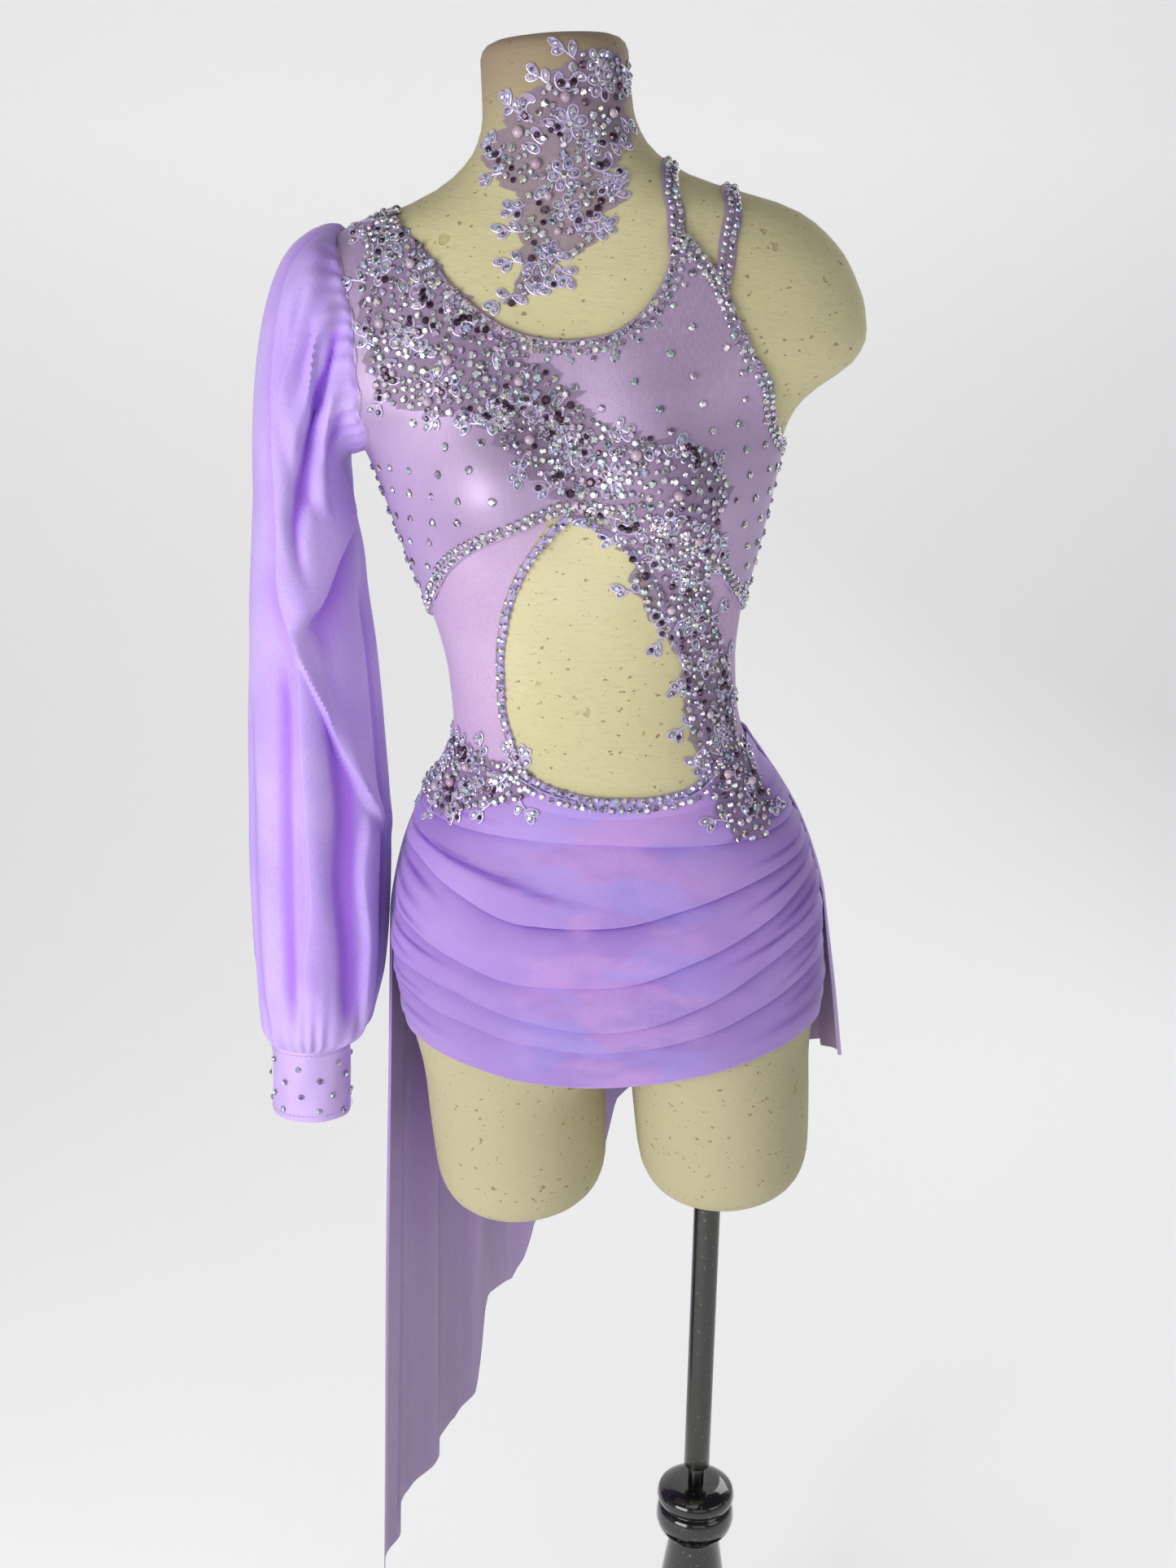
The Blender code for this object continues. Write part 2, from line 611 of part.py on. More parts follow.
def make_form(finish, parent):
    """Neck, torso and two thigh stubs as one smooth body, bored for the pole."""
    angles = np.arange(ROUND_STEPS) * 360 / ROUND_STEPS
    rings = [bare_surface(angles, height) for height in RING_HEIGHTS]
    neck_top = rings[-1]
    for height, scale in zip(NECK_CAP["height"], NECK_CAP["scale"]):
        middle = neck_top.mean(axis=0)
        ring = middle + (neck_top - middle) * scale
        ring[:, 2] = height
        rings.append(ring)
    points = np.concatenate(rings).tolist()
    faces = []
    for ring in range(len(rings) - 1):
        for step in range(ROUND_STEPS):
            after = (step + 1) % ROUND_STEPS
            a, b = ring * ROUND_STEPS, (ring + 1) * ROUND_STEPS
            faces.append([a + step, a + after, b + after, b + step])
    faces.append([(len(rings) - 1) * ROUND_STEPS + step for step in range(ROUND_STEPS)])

    half = ROUND_STEPS // 2
    shares = np.arange(1, CROTCH_STEPS + 1)[:, None] / (CROTCH_STEPS + 1)
    crotch = rings[0][half] * (1 - shares) + rings[0][0] * shares
    crotch[:, 2] += CROTCH_RISE * np.sin(math.pi * shares[:, 0])
    crotch_numbers = [len(points) + step for step in range(CROTCH_STEPS)]
    points += crotch.tolist()
    for side in (1, -1):
        outer = [side * step % ROUND_STEPS for step in range(half + 1)]
        numbers = outer + crotch_numbers
        hip = np.concatenate([rings[0][outer], crotch])
        for row in range(len(THIGHS["height"])):
            below = [len(points) + step for step in range(len(hip))]
            points += thigh_loop(hip, side, row).tolist()
            for step in range(len(hip)):
                after = (step + 1) % len(hip)
                faces.append([numbers[step], numbers[after], below[after], below[step]])
            numbers = below
        faces.append(numbers)
    form = add_object("form", points, faces, finish, parent)

    cut = form.modifiers.new("pole bore", "BOOLEAN")
    cut.operation = "DIFFERENCE"
    cut.solver = "EXACT"
    cut.object = pole_bore()
    return form


def pole_bore():
    """The cutter for the pole's hole, upright in the world."""
    low, high = THIGHS["height"][-1] - 0.05, POLE_TOP + BORE_GAP
    radius = POLE_RADIUS + BORE_GAP
    mesh = bpy.data.meshes.new("pole_bore")
    work = bmesh.new()
    bmesh.ops.create_cone(
        work,
        cap_ends=True,
        segments=TURNED_STEPS,
        radius1=radius,
        radius2=radius,
        depth=high - low,
        matrix=Matrix.Translation((0, 0, (low + high) / 2)),
    )
    work.to_mesh(mesh)
    work.free()
    cutter = bpy.data.objects.new("pole_bore", mesh)
    cutter.hide_render = True
    cutter.display_type = "WIRE"
    bpy.context.scene.collection.objects.link(cutter)
    return cutter


def make_stand(chrome, black):
    rod_top = POLE_FOOT - SEAM_GAP
    rod_foot = COLUMN["height"][0] + SEAM_GAP
    turned("pole", table("radius height", (POLE_RADIUS, POLE_TOP), (POLE_RADIUS, POLE_FOOT)), chrome)
    turned("pole_rod", table("radius height", (ROD_RADIUS, rod_top), (ROD_RADIUS, rod_foot)), chrome)
    turned("stand_column", COLUMN, black)
    turned("stand_foot", FOOT, black)


def back_angles(grid):
    """Draws a back piece in from the two side seams by their gap."""
    grid[..., 0] = 180 + (grid[..., 0] - 180) * (90 - SIDE_SEAM) / 90
    return grid


def armhole_points(back=False):
    """The right armhole's front or back half, from the underarm up, as the bodice and the sleeve share it."""
    points = spread(RIGHT_ARMHOLE, ARMHOLE_STEPS + 1)
    if back:
        points[:, 0] = -180 - points[:, 0]
    return points


def make_bodice(satin, parent, below):
    hem = spread(BODICE_LOWER_EDGE, 26)
    shoulder = side_line(-90, RIGHT_ARMHOLE["height"][-1], RIGHT_SHOULDER_TOP)
    top = spread(joined(rows_of(shoulder, 0, 1), NECKLINE), len(hem))
    side = spread(side_line(-90, hem[0, 1], RIGHT_ARMHOLE["height"][0]), 4)[:-1]
    right_edge = np.concatenate([side, armhole_points()])
    left_edge = spread(joined(side_line(90, hem[-1, 1], 1.17), LEFT_ARMHOLE), len(right_edge))
    front = relaxed(between_edges(hem, top, right_edge, left_edge))
    front = panel("bodice_front", front, SATIN, satin, parent, below)

    bottom = spread(BACK_LOWER_EDGE, 18)
    top = spread(BACK_NECKLINE, len(bottom))
    side = spread(side_line(270, bottom[-1, 1], RIGHT_ARMHOLE["height"][0]), 4)[:-1]
    armhole = armhole_points(back=True) + np.array([360, 0])
    right = np.concatenate([side, armhole, [[270, RIGHT_SHOULDER_TOP]]])
    left = spread(side_line(90, bottom[0, 1], top[0, 1]), len(right))
    grid = back_angles(relaxed(between_edges(bottom, top, left, right)))
    back = panel("bodice_back", grid, SATIN, satin, parent, below)
    return front, back


def make_mesh_panels(sheer, parent, below):
    """The sheer panels, whose top edges follow the front bodice's own points."""
    hem = spread(BODICE_LOWER_EDGE, 26)
    gap = np.array([0, SEAM_GAP])
    rows = 9
    edge = spread(RIGHT_MESH_EDGE, rows)
    top = np.concatenate([hem[hem[:, 0] < edge[-1, 0]] - gap, edge[-1:]])
    bottom = spread(rows_of(HIP_BAND_TOP, 0, 3), len(top)) + gap
    bottom[-1] = edge[0]
    side = spread(side_line(-90, bottom[0, 1], top[0, 1]), rows)
    right = panel("mesh_side_right", between_edges(bottom, top, side, edge), MESH, sheer, parent, below)

    edge = spread(LEFT_MESH_EDGE, rows)
    top = np.concatenate([edge[-1:], hem[hem[:, 0] > edge[-1, 0]] - gap])
    bottom = spread(rows_of(HIP_BAND_TOP, -3, None), len(top)) + gap
    bottom[0] = edge[0]
    side = spread(side_line(90, bottom[-1, 1], top[-1, 1]), rows)
    left = panel("mesh_side_left", between_edges(bottom, top, edge, side), MESH, sheer, parent, below)

    top = spread(BACK_LOWER_EDGE, 14) - gap
    bottom = spread(BACK_WAIST, len(top)) + gap
    left_side = spread(side_line(90, bottom[0, 1], top[0, 1]), 7)
    right_side = spread(side_line(270, bottom[-1, 1], top[-1, 1]), 7)
    grid = back_angles(between_edges(bottom, top, left_side, right_side))
    back = panel("mesh_back", grid, MESH, sheer, parent, below)
    return right, left, back


def make_hip_band(cloth, parent, below):
    bottom = spread(SKIRT_TOP, 30) + np.array([0, CURVED_SEAM_GAP])
    top = spread(HIP_BAND_TOP, len(bottom))
    grid = between_edges(bottom, top, np.array([bottom[0], top[0]]), np.array([bottom[-1], top[-1]]))
    return panel("hip_band", grid, SATIN, cloth, parent, below)


def make_front_skirt(cloth, parent, below):
    """The ruched front, whose rows run along its creases so that each roll of cloth has its own rows."""
    columns = 20
    share = np.linspace(-1, 1, columns)
    crowded = SKIRT_CROWDING * np.sin(share * math.pi / 2) + (1 - SKIRT_CROWDING) * share
    angle = (90 - SIDE_SEAM) * crowded
    creases = [steady(SKIRT_TOP["angle"], SKIRT_TOP["height"], angle)]
    for right, lowest, left in zip(*(SKIRT_FOLDS[key] for key in ("right", "lowest", "left"))):
        end = np.where(share < 0, right, left)
        creases.append(lowest + (end - lowest) * np.abs(share) ** FOLD_SAG)
    heights, swells = [], []
    seam = SEAM_SHARE + (1 - SEAM_SHARE) * ease((1 - np.abs(share)) / SEAM_REACH)
    for fold, depth in enumerate(SKIRT_FOLDS["depth"]):
        for phase in FOLD_PHASES:
            heights.append(creases[fold] * (1 - phase) + creases[fold + 1] * phase)
            swells.append(depth * math.sin(math.pi * phase**FOLD_FULLNESS) * seam)
    heights.append(creases[-1])
    swells.append(np.zeros(columns))
    height = np.array(heights)
    out = FORM_GAP + np.array(swells) + SKIRT_EASE * ease((SKIRT_HANGS_FROM - height) / SKIRT_HANGS_OVER)
    angle = np.broadcast_to(angle, height.shape)
    out = laid_on(bare_surface(angle, height), outward(angle, height), out, below)
    inner, outer = surface(angle, height, out), surface(angle, height, out + SKIRT_MESH)
    return wall("skirt_front", inner, outer, cloth, parent)


def make_back_skirt(cloth, below):
    """The long back skirt: it follows the hips and then hangs straight down, in upright folds."""
    columns = 36
    angle = np.linspace(TRAIN_HEM["angle"][0], TRAIN_HEM["angle"][-1], columns)
    for own in TRAIN_HEM["angle"]:
        angle[np.argmin(np.abs(angle - own))] = own
    hem, flare = (np.interp(angle, TRAIN_HEM["angle"], TRAIN_HEM[key]) for key in ("height", "flare"))
    clear_of_seams = ease((90 - np.abs(angle - 180)) / TRAIN_CALM)
    wave = np.sin(np.linspace(0, 1, columns) * TRAIN_FOLDS * 2 * math.pi)
    wave *= TRAIN_FOLD_DEPTH * (TRAIN_FOLD_AT_SIDES + (1 - TRAIN_FOLD_AT_SIDES) * clear_of_seams)
    stands_off = TRAIN_OFF_SIDES + (TRAIN_OFF_BACK - TRAIN_OFF_SIDES) * clear_of_seams

    share = np.linspace(0, 1, 5)[:, None]
    top = steady(BACK_WAIST["angle"], BACK_WAIST["height"], angle) - SEAM_GAP
    height = top * (1 - share) + TRAIN_HANGS_FROM * share
    out = FORM_GAP + (stands_off - FORM_GAP + TRAIN_FOLD_AT_HIP * wave) * ease(share)
    angle = np.broadcast_to(angle, height.shape)
    out = laid_on(bare_surface(angle, height), outward(angle, height), out, below)
    sides = []
    for side in (0, SKIRT_MESH):
        rows = list(leaning(surface(angle, height, out + side)))
        hung = rows[-1]
        along = np.gradient(hung[:, :2], axis=0)
        away = unit(np.column_stack([along[:, 1], -along[:, 0]]))
        for share_down in np.linspace(0, 1, 9)[1:]:
            level = hung[:, 2] * (1 - share_down) + hem * share_down
            deeper = (1 - TRAIN_FOLD_AT_HIP) * ease(share_down / TRAIN_FULL_DEPTH_AT)
            push = flare * (hung[:, 2] - level) + deeper * wave
            rows.append(np.column_stack([hung[:, :2] + away * push[:, None], level]))
        sides.append(np.array(rows))
    return wall("skirt_back", sides[0], sides[1], cloth)


def sleeve_section(row, turn, swell):
    """One level section of the sleeve. A turn of 0 faces outward, and a quarter turn the front."""
    across = SLEEVE["centre_x"][row] - (SLEEVE["half_width"][row] + swell) * np.cos(turn)
    ahead = SLEEVE_MIDDLE_Y - (SLEEVE["half_depth"][row] + swell) * np.sin(turn)
    return np.stack([across, ahead, np.full_like(across, SLEEVE["height"][row])], axis=-1)


def make_sleeve(cloth):
    """The sleeve fans out of the armhole over the shoulder cap and then hangs plumb to the cuff."""
    armhole = np.concatenate([armhole_points()[::-1], armhole_points(back=True)[1:-1]])
    around = len(armhole)
    middle = bare_surface(*ARMHOLE_MIDDLE)
    turn = np.arange(around) * 2 * math.pi / around
    gathers = SLEEVE_GATHER_DEPTH * np.sin(turn * SLEEVE_GATHERS)
    sides = []
    for side in (0, SKIRT_MESH):
        start = surface(armhole[:, 0], armhole[:, 1], SLEEVE_OFF_FORM)
        start = leaning(start + unit(middle - start) * (ARMHOLE_INSET - side))
        radial = start - leaning(middle)
        radial[:, 0] = 0
        radial = unit(radial)
        spill = SLEEVE_SPILL + SLEEVE_SPILL_AT_TOP * np.clip(radial[:, 2:], -0.5, 1)
        away = unit(np.array([-1.0, 0, 0]) + spill * radial)
        below = sleeve_section(0, turn, side)
        reach = np.linalg.norm(below - start, axis=1)[:, None]
        first = start + away * (SLEEVE_HEAD_REACH + SLEEVE_HEAD_SHARE * reach)
        second = below + np.array([0, 0, SLEEVE_HANG_SHARE]) * reach
        rows = []
        for t in SLEEVE_HEAD_STEPS:
            drawn = start * (1 - t) ** 3 + below * t**3
            drawn += 3 * t * (1 - t) ** 2 * first + 3 * t * t * (1 - t) * second
            rows.append(drawn + away * (gathers * ease(t * 4))[:, None])
        last = len(SLEEVE["height"]) - 1
        for row in range(last + 1):
            section = sleeve_section(row, turn, side)
            centre = np.array([SLEEVE["centre_x"][row], SLEEVE_MIDDLE_Y, SLEEVE["height"][row]])
            swell = gathers if row < last else 0 * gathers
            rows.append(section + unit(section - centre) * swell[:, None])
        sides.append(np.array(rows))
    return wall("sleeve", sides[0], sides[1], cloth, closed=True)


def make_cuff(satin):
    turn = np.arange(24) * 2 * math.pi / 24
    sides = []
    for side in (0, SATIN):
        across = CUFF_MIDDLE_X - (CUFF_HALF_WIDTH + side) * np.cos(turn)
        ahead = SLEEVE_MIDDLE_Y - (CUFF_HALF_DEPTH + side) * np.sin(turn)
        levels = (CUFF_TOP, (CUFF_TOP + CUFF_FOOT) / 2, CUFF_FOOT)
        sides.append(np.array([np.column_stack([across, ahead, np.full_like(turn, z)]) for z in levels]))
    return wall("cuff", sides[0], sides[1], satin, closed=True)


def make_binding(satin, parent, below):
    """The folded binding round the cut-out, beside the edges of the mesh and the hip band."""
    whole = {key: np.append(values, values[0]) for key, values in CUT_OUT.items()}
    pairs = spread(whole, 49)[:-1]
    edge = bare_surface(pairs[:, 0], pairs[:, 1])
    away = outward(pairs[:, 0], pairs[:, 1])
    along = np.roll(edge, -1, axis=0) - np.roll(edge, 1, axis=0)
    sideways = unit(np.cross(along, away))
    facing = np.sign(np.sum(sideways * (edge - bare_surface(*CUT_OUT_MIDDLE)), axis=1))
    beyond = edge + sideways * facing[:, None] * BINDING_WIDTH
    bare, away = np.array([edge, beyond]), np.array([away, away])
    inner = bare + away * laid_on(bare, away, FORM_GAP, below, closed=True, level_across=True)[..., None]
    return wall("cut_out_binding", inner, inner + away * BINDING, satin, parent, closed=True)


def make_straps(satin, parent, below):
    for name, route, count in (("strap_inner", INNER_STRAP, 24), ("strap_outer", OUTER_STRAP, 26)):
        pairs = spread(route, count)
        middle = bare_surface(pairs[:, 0], pairs[:, 1])
        away = outward(pairs[:, 0], pairs[:, 1])
        sideways = unit(np.cross(np.gradient(middle, axis=0), away))
        bare = np.array([middle + sideways * STRAP_WIDTH * share for share in (-0.5, 0, 0.5)])
        away = np.array([away] * 3)
        inner = bare + away * laid_on(bare, away, FORM_GAP, below, level_across=True)[..., None]
        wall(name, inner, inner + away * STRAP, satin, parent)


def lace(name, edges, rows, columns, finish, parent, below):
    """Raised lace: a plain inside follows what it lies on, the outer points rise and the edges are lobed."""
    index = np.arange(len(edges["angle_a"]), dtype=float)
    wanted = np.linspace(0, index[-1], rows)
    ends = {key: steady(index, values, wanted)[:, None] for key, values in edges.items()}
    share = np.linspace(0, 1, columns)[None, :]
    lobe = LACE_LOBES * np.cos(np.arange(rows) * math.pi)[:, None]
    share = share + lobe * (2 * share - 1)
    angle = ends["angle_a"] * (1 - share) + ends["angle_b"] * share
    height = ends["height_a"] * (1 - share) + ends["height_b"] * share
    out = laid_on(bare_surface(angle, height), outward(angle, height), FORM_GAP, below)
    across, along = np.arange(columns)[None, :], np.arange(rows)[:, None]
    relief = LACE_RELIEF * np.abs(np.sin(along * RELIEF_ALONG) * np.cos(across * RELIEF_ACROSS + 0.6))
    inner, outer = surface(angle, height, out), surface(angle, height, out + LACE + relief)
    return wall(name, inner, outer, finish, parent)


def clear_scene():
    for old in list(bpy.data.objects):
        bpy.data.objects.remove(old, do_unlink=True)


def main():
    clear_scene()
    axis = bpy.data.objects.new("form_axis", None)
    lean = Matrix.Rotation(-FORM_LEAN, 4, "Y")
    axis.matrix_world = Matrix.Translation(FORM_PIVOT) @ lean @ Matrix.Translation((0, 0, -FORM_PIVOT.z))
    bpy.context.scene.collection.objects.link(axis)
    linen = material("linen", (0.58, 0.55, 0.36), 0.75)
    chrome = material("chrome", (0.35, 0.35, 0.34), 0.2, 1.0)
    black = material("black gloss", (0.006, 0.006, 0.006), 0.15)
    satin = material("mauve satin", (0.42, 0.29, 0.56), 0.35)
    sheer = material("sheer mesh", (0.66, 0.50, 0.72), 0.6)
    lilac = material("lilac mesh", (0.45, 0.30, 0.82), 0.6)
    silver = material("corded lace", (0.50, 0.42, 0.60), 0.3)

    form = tree_of(make_form(linen, axis))
    make_stand(chrome, black)
    bodice = [tree_of(made) for made in make_bodice(satin, axis, [form])]
    sheers = [tree_of(made) for made in make_mesh_panels(sheer, axis, [form])]
    band = tree_of(make_hip_band(lilac, axis, [form]))
    skirt = tree_of(make_front_skirt(lilac, axis, [form]))
    make_back_skirt(lilac, [form])
    make_sleeve(lilac)
    make_cuff(satin)
    binding = tree_of(make_binding(satin, axis, [form]))
    costume = [form, *bodice, *sheers, band, skirt, binding]
    main_lace = tree_of(lace("lace_main", MAIN_LACE, 39, 6, silver, axis, costume))
    lace("lace_hip", HIP_LACE, 9, 5, silver, axis, costume)
    lace("lace_neck", NECK_LACE, 25, 5, silver, axis, [*costume, main_lace])
    make_straps(satin, axis, costume)


main()
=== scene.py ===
# Lyrical dance costume on its dress form: cloth, bindings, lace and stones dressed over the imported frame.
# Metres, in the frame's own axes. Places on the form are an angle round it (0 front, 90 wearer's left) and a height.

import math
import random

import bmesh
import bpy
import numpy as np
from mathutils import Euler, Matrix, Vector, noise
from mathutils.bvhtree import BVHTree


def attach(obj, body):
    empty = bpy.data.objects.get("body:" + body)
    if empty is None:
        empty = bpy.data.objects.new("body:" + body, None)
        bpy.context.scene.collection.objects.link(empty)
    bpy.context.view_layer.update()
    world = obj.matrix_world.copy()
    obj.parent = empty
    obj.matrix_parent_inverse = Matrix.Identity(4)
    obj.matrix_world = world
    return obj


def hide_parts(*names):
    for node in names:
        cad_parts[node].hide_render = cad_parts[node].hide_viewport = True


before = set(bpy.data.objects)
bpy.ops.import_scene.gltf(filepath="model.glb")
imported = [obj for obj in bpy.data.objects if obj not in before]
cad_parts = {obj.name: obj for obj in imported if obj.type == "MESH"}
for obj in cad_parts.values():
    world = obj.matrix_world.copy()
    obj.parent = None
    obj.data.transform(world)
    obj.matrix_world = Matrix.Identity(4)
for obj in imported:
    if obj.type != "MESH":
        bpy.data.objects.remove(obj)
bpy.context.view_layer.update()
skyward = np.array([0, 0, 1.0])


def columnsOf(names, *rows):
    return dict(zip(names.split(), np.array(rows, float).T))


def outlineOf(*rows):
    return columnsOf("angle height", *rows)


# the form's own shape, as the frame was built

formSections = columnsOf(
    "height halfWidth front back squareness",
    (0.775, 0.164, 0.093, 0.107, 2.3), (0.82, 0.1655, 0.098, 0.114, 2.25), (0.86, 0.164, 0.099, 0.116, 2.2),
    (0.9, 0.158, 0.097, 0.112, 2.2), (0.93, 0.151, 0.094, 0.106, 2.2), (0.96, 0.139, 0.091, 0.098, 2.2),
    (0.985, 0.1255, 0.0885, 0.0905, 2.2), (1.01, 0.112, 0.086, 0.084, 2.2), (1.035, 0.1085, 0.0845, 0.081, 2.2),
    (1.065, 0.109, 0.085, 0.08, 2.2), (1.1, 0.114, 0.087, 0.082, 2.2), (1.135, 0.124, 0.089, 0.087, 2.2),
    (1.17, 0.1345, 0.0905, 0.092, 2.2), (1.205, 0.144, 0.0915, 0.097, 2.2), (1.232, 0.152, 0.092, 0.1, 2.2),
    (1.247, 0.159, 0.092, 0.101, 2.2), (1.261, 0.172, 0.092, 0.1015, 2.2), (1.273, 0.192, 0.092, 0.1015, 2.2),
    (1.285, 0.208, 0.0915, 0.101, 2.2), (1.302, 0.215, 0.0905, 0.1, 2.2), (1.32, 0.214, 0.088, 0.098, 2.2),
    (1.337, 0.209, 0.085, 0.095, 2.2), (1.355, 0.201, 0.081, 0.091, 2.2), (1.372, 0.188, 0.076, 0.086, 2.15),
    (1.386, 0.172, 0.0715, 0.081, 2.1), (1.397, 0.15, 0.068, 0.076, 2.1), (1.407, 0.12, 0.0645, 0.071, 2.05),
    (1.418, 0.092, 0.062, 0.066, 2.0), (1.432, 0.071, 0.06, 0.06, 2.0), (1.447, 0.059, 0.0585, 0.055, 2.0),
    (1.465, 0.0535, 0.058, 0.052, 2.0), (1.503, 0.052, 0.0575, 0.049, 2.0),
)
form = {
    "lean": math.radians(4.47), "pivotX": -0.0775, "pivotZ": 0.7, "steps": 120, "rings": 96,
    "cupOut": 0.066, "cupHeight": 1.212, "cupRise": 0.036, "cupWidth": 0.046, "cupAbove": 0.062, "cupBelow": 0.042,
    "caps": ((1.508, 0.965), (1.5115, 0.9), (1.5138, 0.79), (1.515, 0.6)),  # heights and scales of the neck's top
    "thighCentre": 0.0845, "thighBack": 0.004, "thighHalfWidth": 0.0735, "thighHalfDepth": 0.085,
    "thighInside": 0.0015, "thighInsideRound": 0.0105, "crotchSteps": 14, "crotchRise": 0.006, "thighRows": 30,
}
thighs = columnsOf(
    "height roundness scale",
    (0.775, 0.0, 1.0), (0.762, 0.35, 1.0), (0.742, 0.8, 1.0), (0.715, 1.0, 1.0), (0.675, 1.0, 0.985),
    (0.647, 1.0, 0.96), (0.628, 1.0, 0.88), (0.616, 1.0, 0.71), (0.6095, 1.0, 0.42), (0.6085, 1.0, 0.05),
)


def steady(xs, ys, x):  # a smooth curve through points that never swings past them
    x = np.clip(np.asarray(x, float), xs[0], xs[-1])
    step = np.diff(xs)
    slope = np.diff(ys) / step
    tangent = np.concatenate([slope[:1], np.zeros(len(xs) - 2), slope[-1:]])
    before, after = slope[:-1], slope[1:]
    sameWay = before * after > 0
    weightA, weightB = 2 * step[1:] + step[:-1], step[1:] + 2 * step[:-1]
    mean = (weightA + weightB) / (weightA / np.where(sameWay, before, 1) + weightB / np.where(sameWay, after, 1))
    tangent[1:-1] = np.where(sameWay, mean, 0)
    i = np.clip(np.searchsorted(xs, x) - 1, 0, len(step) - 1)
    t = (x - xs[i]) / step[i]
    return (
        ys[i] * (1 + 2 * t) * (1 - t) ** 2 + step[i] * tangent[i] * t * (1 - t) ** 2
        + ys[i + 1] * t * t * (3 - 2 * t) + step[i] * tangent[i + 1] * t * t * (t - 1)
    )


def ease(x):
    x = np.clip(x, 0, 1)
    return x * x * (3 - 2 * x)


def signedPower(value, exponent):
    return np.sign(value) * np.abs(value) ** exponent


def unit(vectors):
    return vectors / np.maximum(np.linalg.norm(vectors, axis=-1, keepdims=True), 1e-12)


def stacked(*parts):
    return np.stack(np.broadcast_arrays(*parts), axis=-1)


def turnsOf(count):  # even steps once round
    return np.arange(count) * 2 * math.pi / count


def walked(points):  # the distance along a line to each of its points
    return np.concatenate([[0], np.cumsum(np.linalg.norm(np.diff(points, axis=0), axis=1))])


def bareForm(angle, height):  # points on the form, in its own upright frame
    angle, height = np.broadcast_arrays(np.radians(angle), np.asarray(height, float))
    keys = ("halfWidth", "front", "back", "squareness")
    half, front, back, square = (steady(formSections["height"], formSections[key], height) for key in keys)
    across = half * signedPower(np.sin(angle), 2 / square)
    ahead = signedPower(np.cos(angle), 2 / square)
    depth = np.where(ahead > 0, front, back)
    drop = np.where(height > form["cupHeight"], form["cupAbove"], form["cupBelow"])
    rise = form["cupRise"] * np.exp(-(((height - form["cupHeight"]) / drop) ** 2))
    cups = sum(np.exp(-(((across - side * form["cupOut"]) / form["cupWidth"]) ** 2)) for side in (-1, 1))
    return stacked(across, -depth * ahead - rise * cups * np.clip(ahead, 0, 1) ** 0.6, height)


def facingOut(angle, height):
    along = bareForm(angle + 1.0, height) - bareForm(angle - 1.0, height)
    upward = bareForm(angle, height + 0.002) - bareForm(angle, height - 0.002)
    return unit(np.cross(along, upward))


def turnOver(vectors, pivotX=0.0, pivotZ=0.0):  # directions, from the upright frame into the world
    across, above = vectors[..., 0], vectors[..., 2] - pivotZ
    c, s = math.cos(form["lean"]), math.sin(form["lean"])
    return stacked(pivotX + across * c - above * s, vectors[..., 1], pivotZ + across * s + above * c)


def leanOver(points):
    return turnOver(points, form["pivotX"], form["pivotZ"])


def onForm(angle, height):
    return leanOver(bareForm(angle, height))


def outward(angle, height):
    return turnOver(facingOut(angle, height))


def offForm(angle, height, out):
    angle, height, out = np.broadcast_arrays(np.asarray(angle, float), height, out)
    return leanOver(bareForm(angle, height) + facingOut(angle, height) * out[..., None])


# outlines and grids

fine = 4  # how many times finer these grids are than the frame's
relaxing = {"coarse": 1500, "fine": 500, "pace": 0.5, "degree": 0.0021}  # a degree counts as so many metres


def pacedOut(outline):  # distances along an outline, and what finds its places at given distances
    distance = walked(bareForm(outline["angle"], outline["height"]))
    return distance, lambda wanted: stacked(*(steady(distance, outline[key], wanted) for key in ("angle", "height")))


def lineAlong(outline, count):  # evenly spaced, moved onto the outline's own points and then refined
    distance, placesAt = pacedOut(outline)
    wanted = np.linspace(0, distance[-1], count)
    for own in distance:
        wanted[np.argmin(np.abs(wanted - own))] = own
    return placesAt(np.interp(np.linspace(0, count - 1, (count - 1) * fine + 1), np.arange(count), wanted))


def evenLine(outline, spacing, closed=False):
    if closed:
        outline = {key: np.append(values, values[0]) for key, values in outline.items()}
    distance, placesAt = pacedOut(outline)
    pairs = placesAt(np.linspace(0, distance[-1], int(distance[-1] / spacing) + 1))
    return pairs[:-1] if closed else pairs


def joinedOutline(*outlines):
    return {key: np.concatenate([o[key] for o in outlines]) for key in ("angle", "height")}


def rowsOf(outline, first, last):
    return {key: values[first:last] for key, values in outline.items()}


def upLine(angle, low, high):
    return outlineOf((angle, low), (angle, high))


def spread(values, count):  # the rows of a grid, as count rows
    rows = len(values)
    at = np.linspace(0, rows - 1, count)
    columns = values.reshape(rows, -1).T
    return stacked(*(np.interp(at, np.arange(rows), column) for column in columns)).reshape(count, *values.shape[1:])


def filledGrid(bottom, top, left, right):
    s, t = np.linspace(0, 1, len(bottom))[None, :, None], np.linspace(0, 1, len(left))[:, None, None]
    across, upward = (1 - t) * bottom[None] + t * top[None], (1 - s) * left[:, None] + s * right[:, None]
    low, high = (1 - s) * bottom[0] + s * bottom[-1], (1 - s) * top[0] + s * top[-1]
    return across + upward - (1 - t) * low - t * high


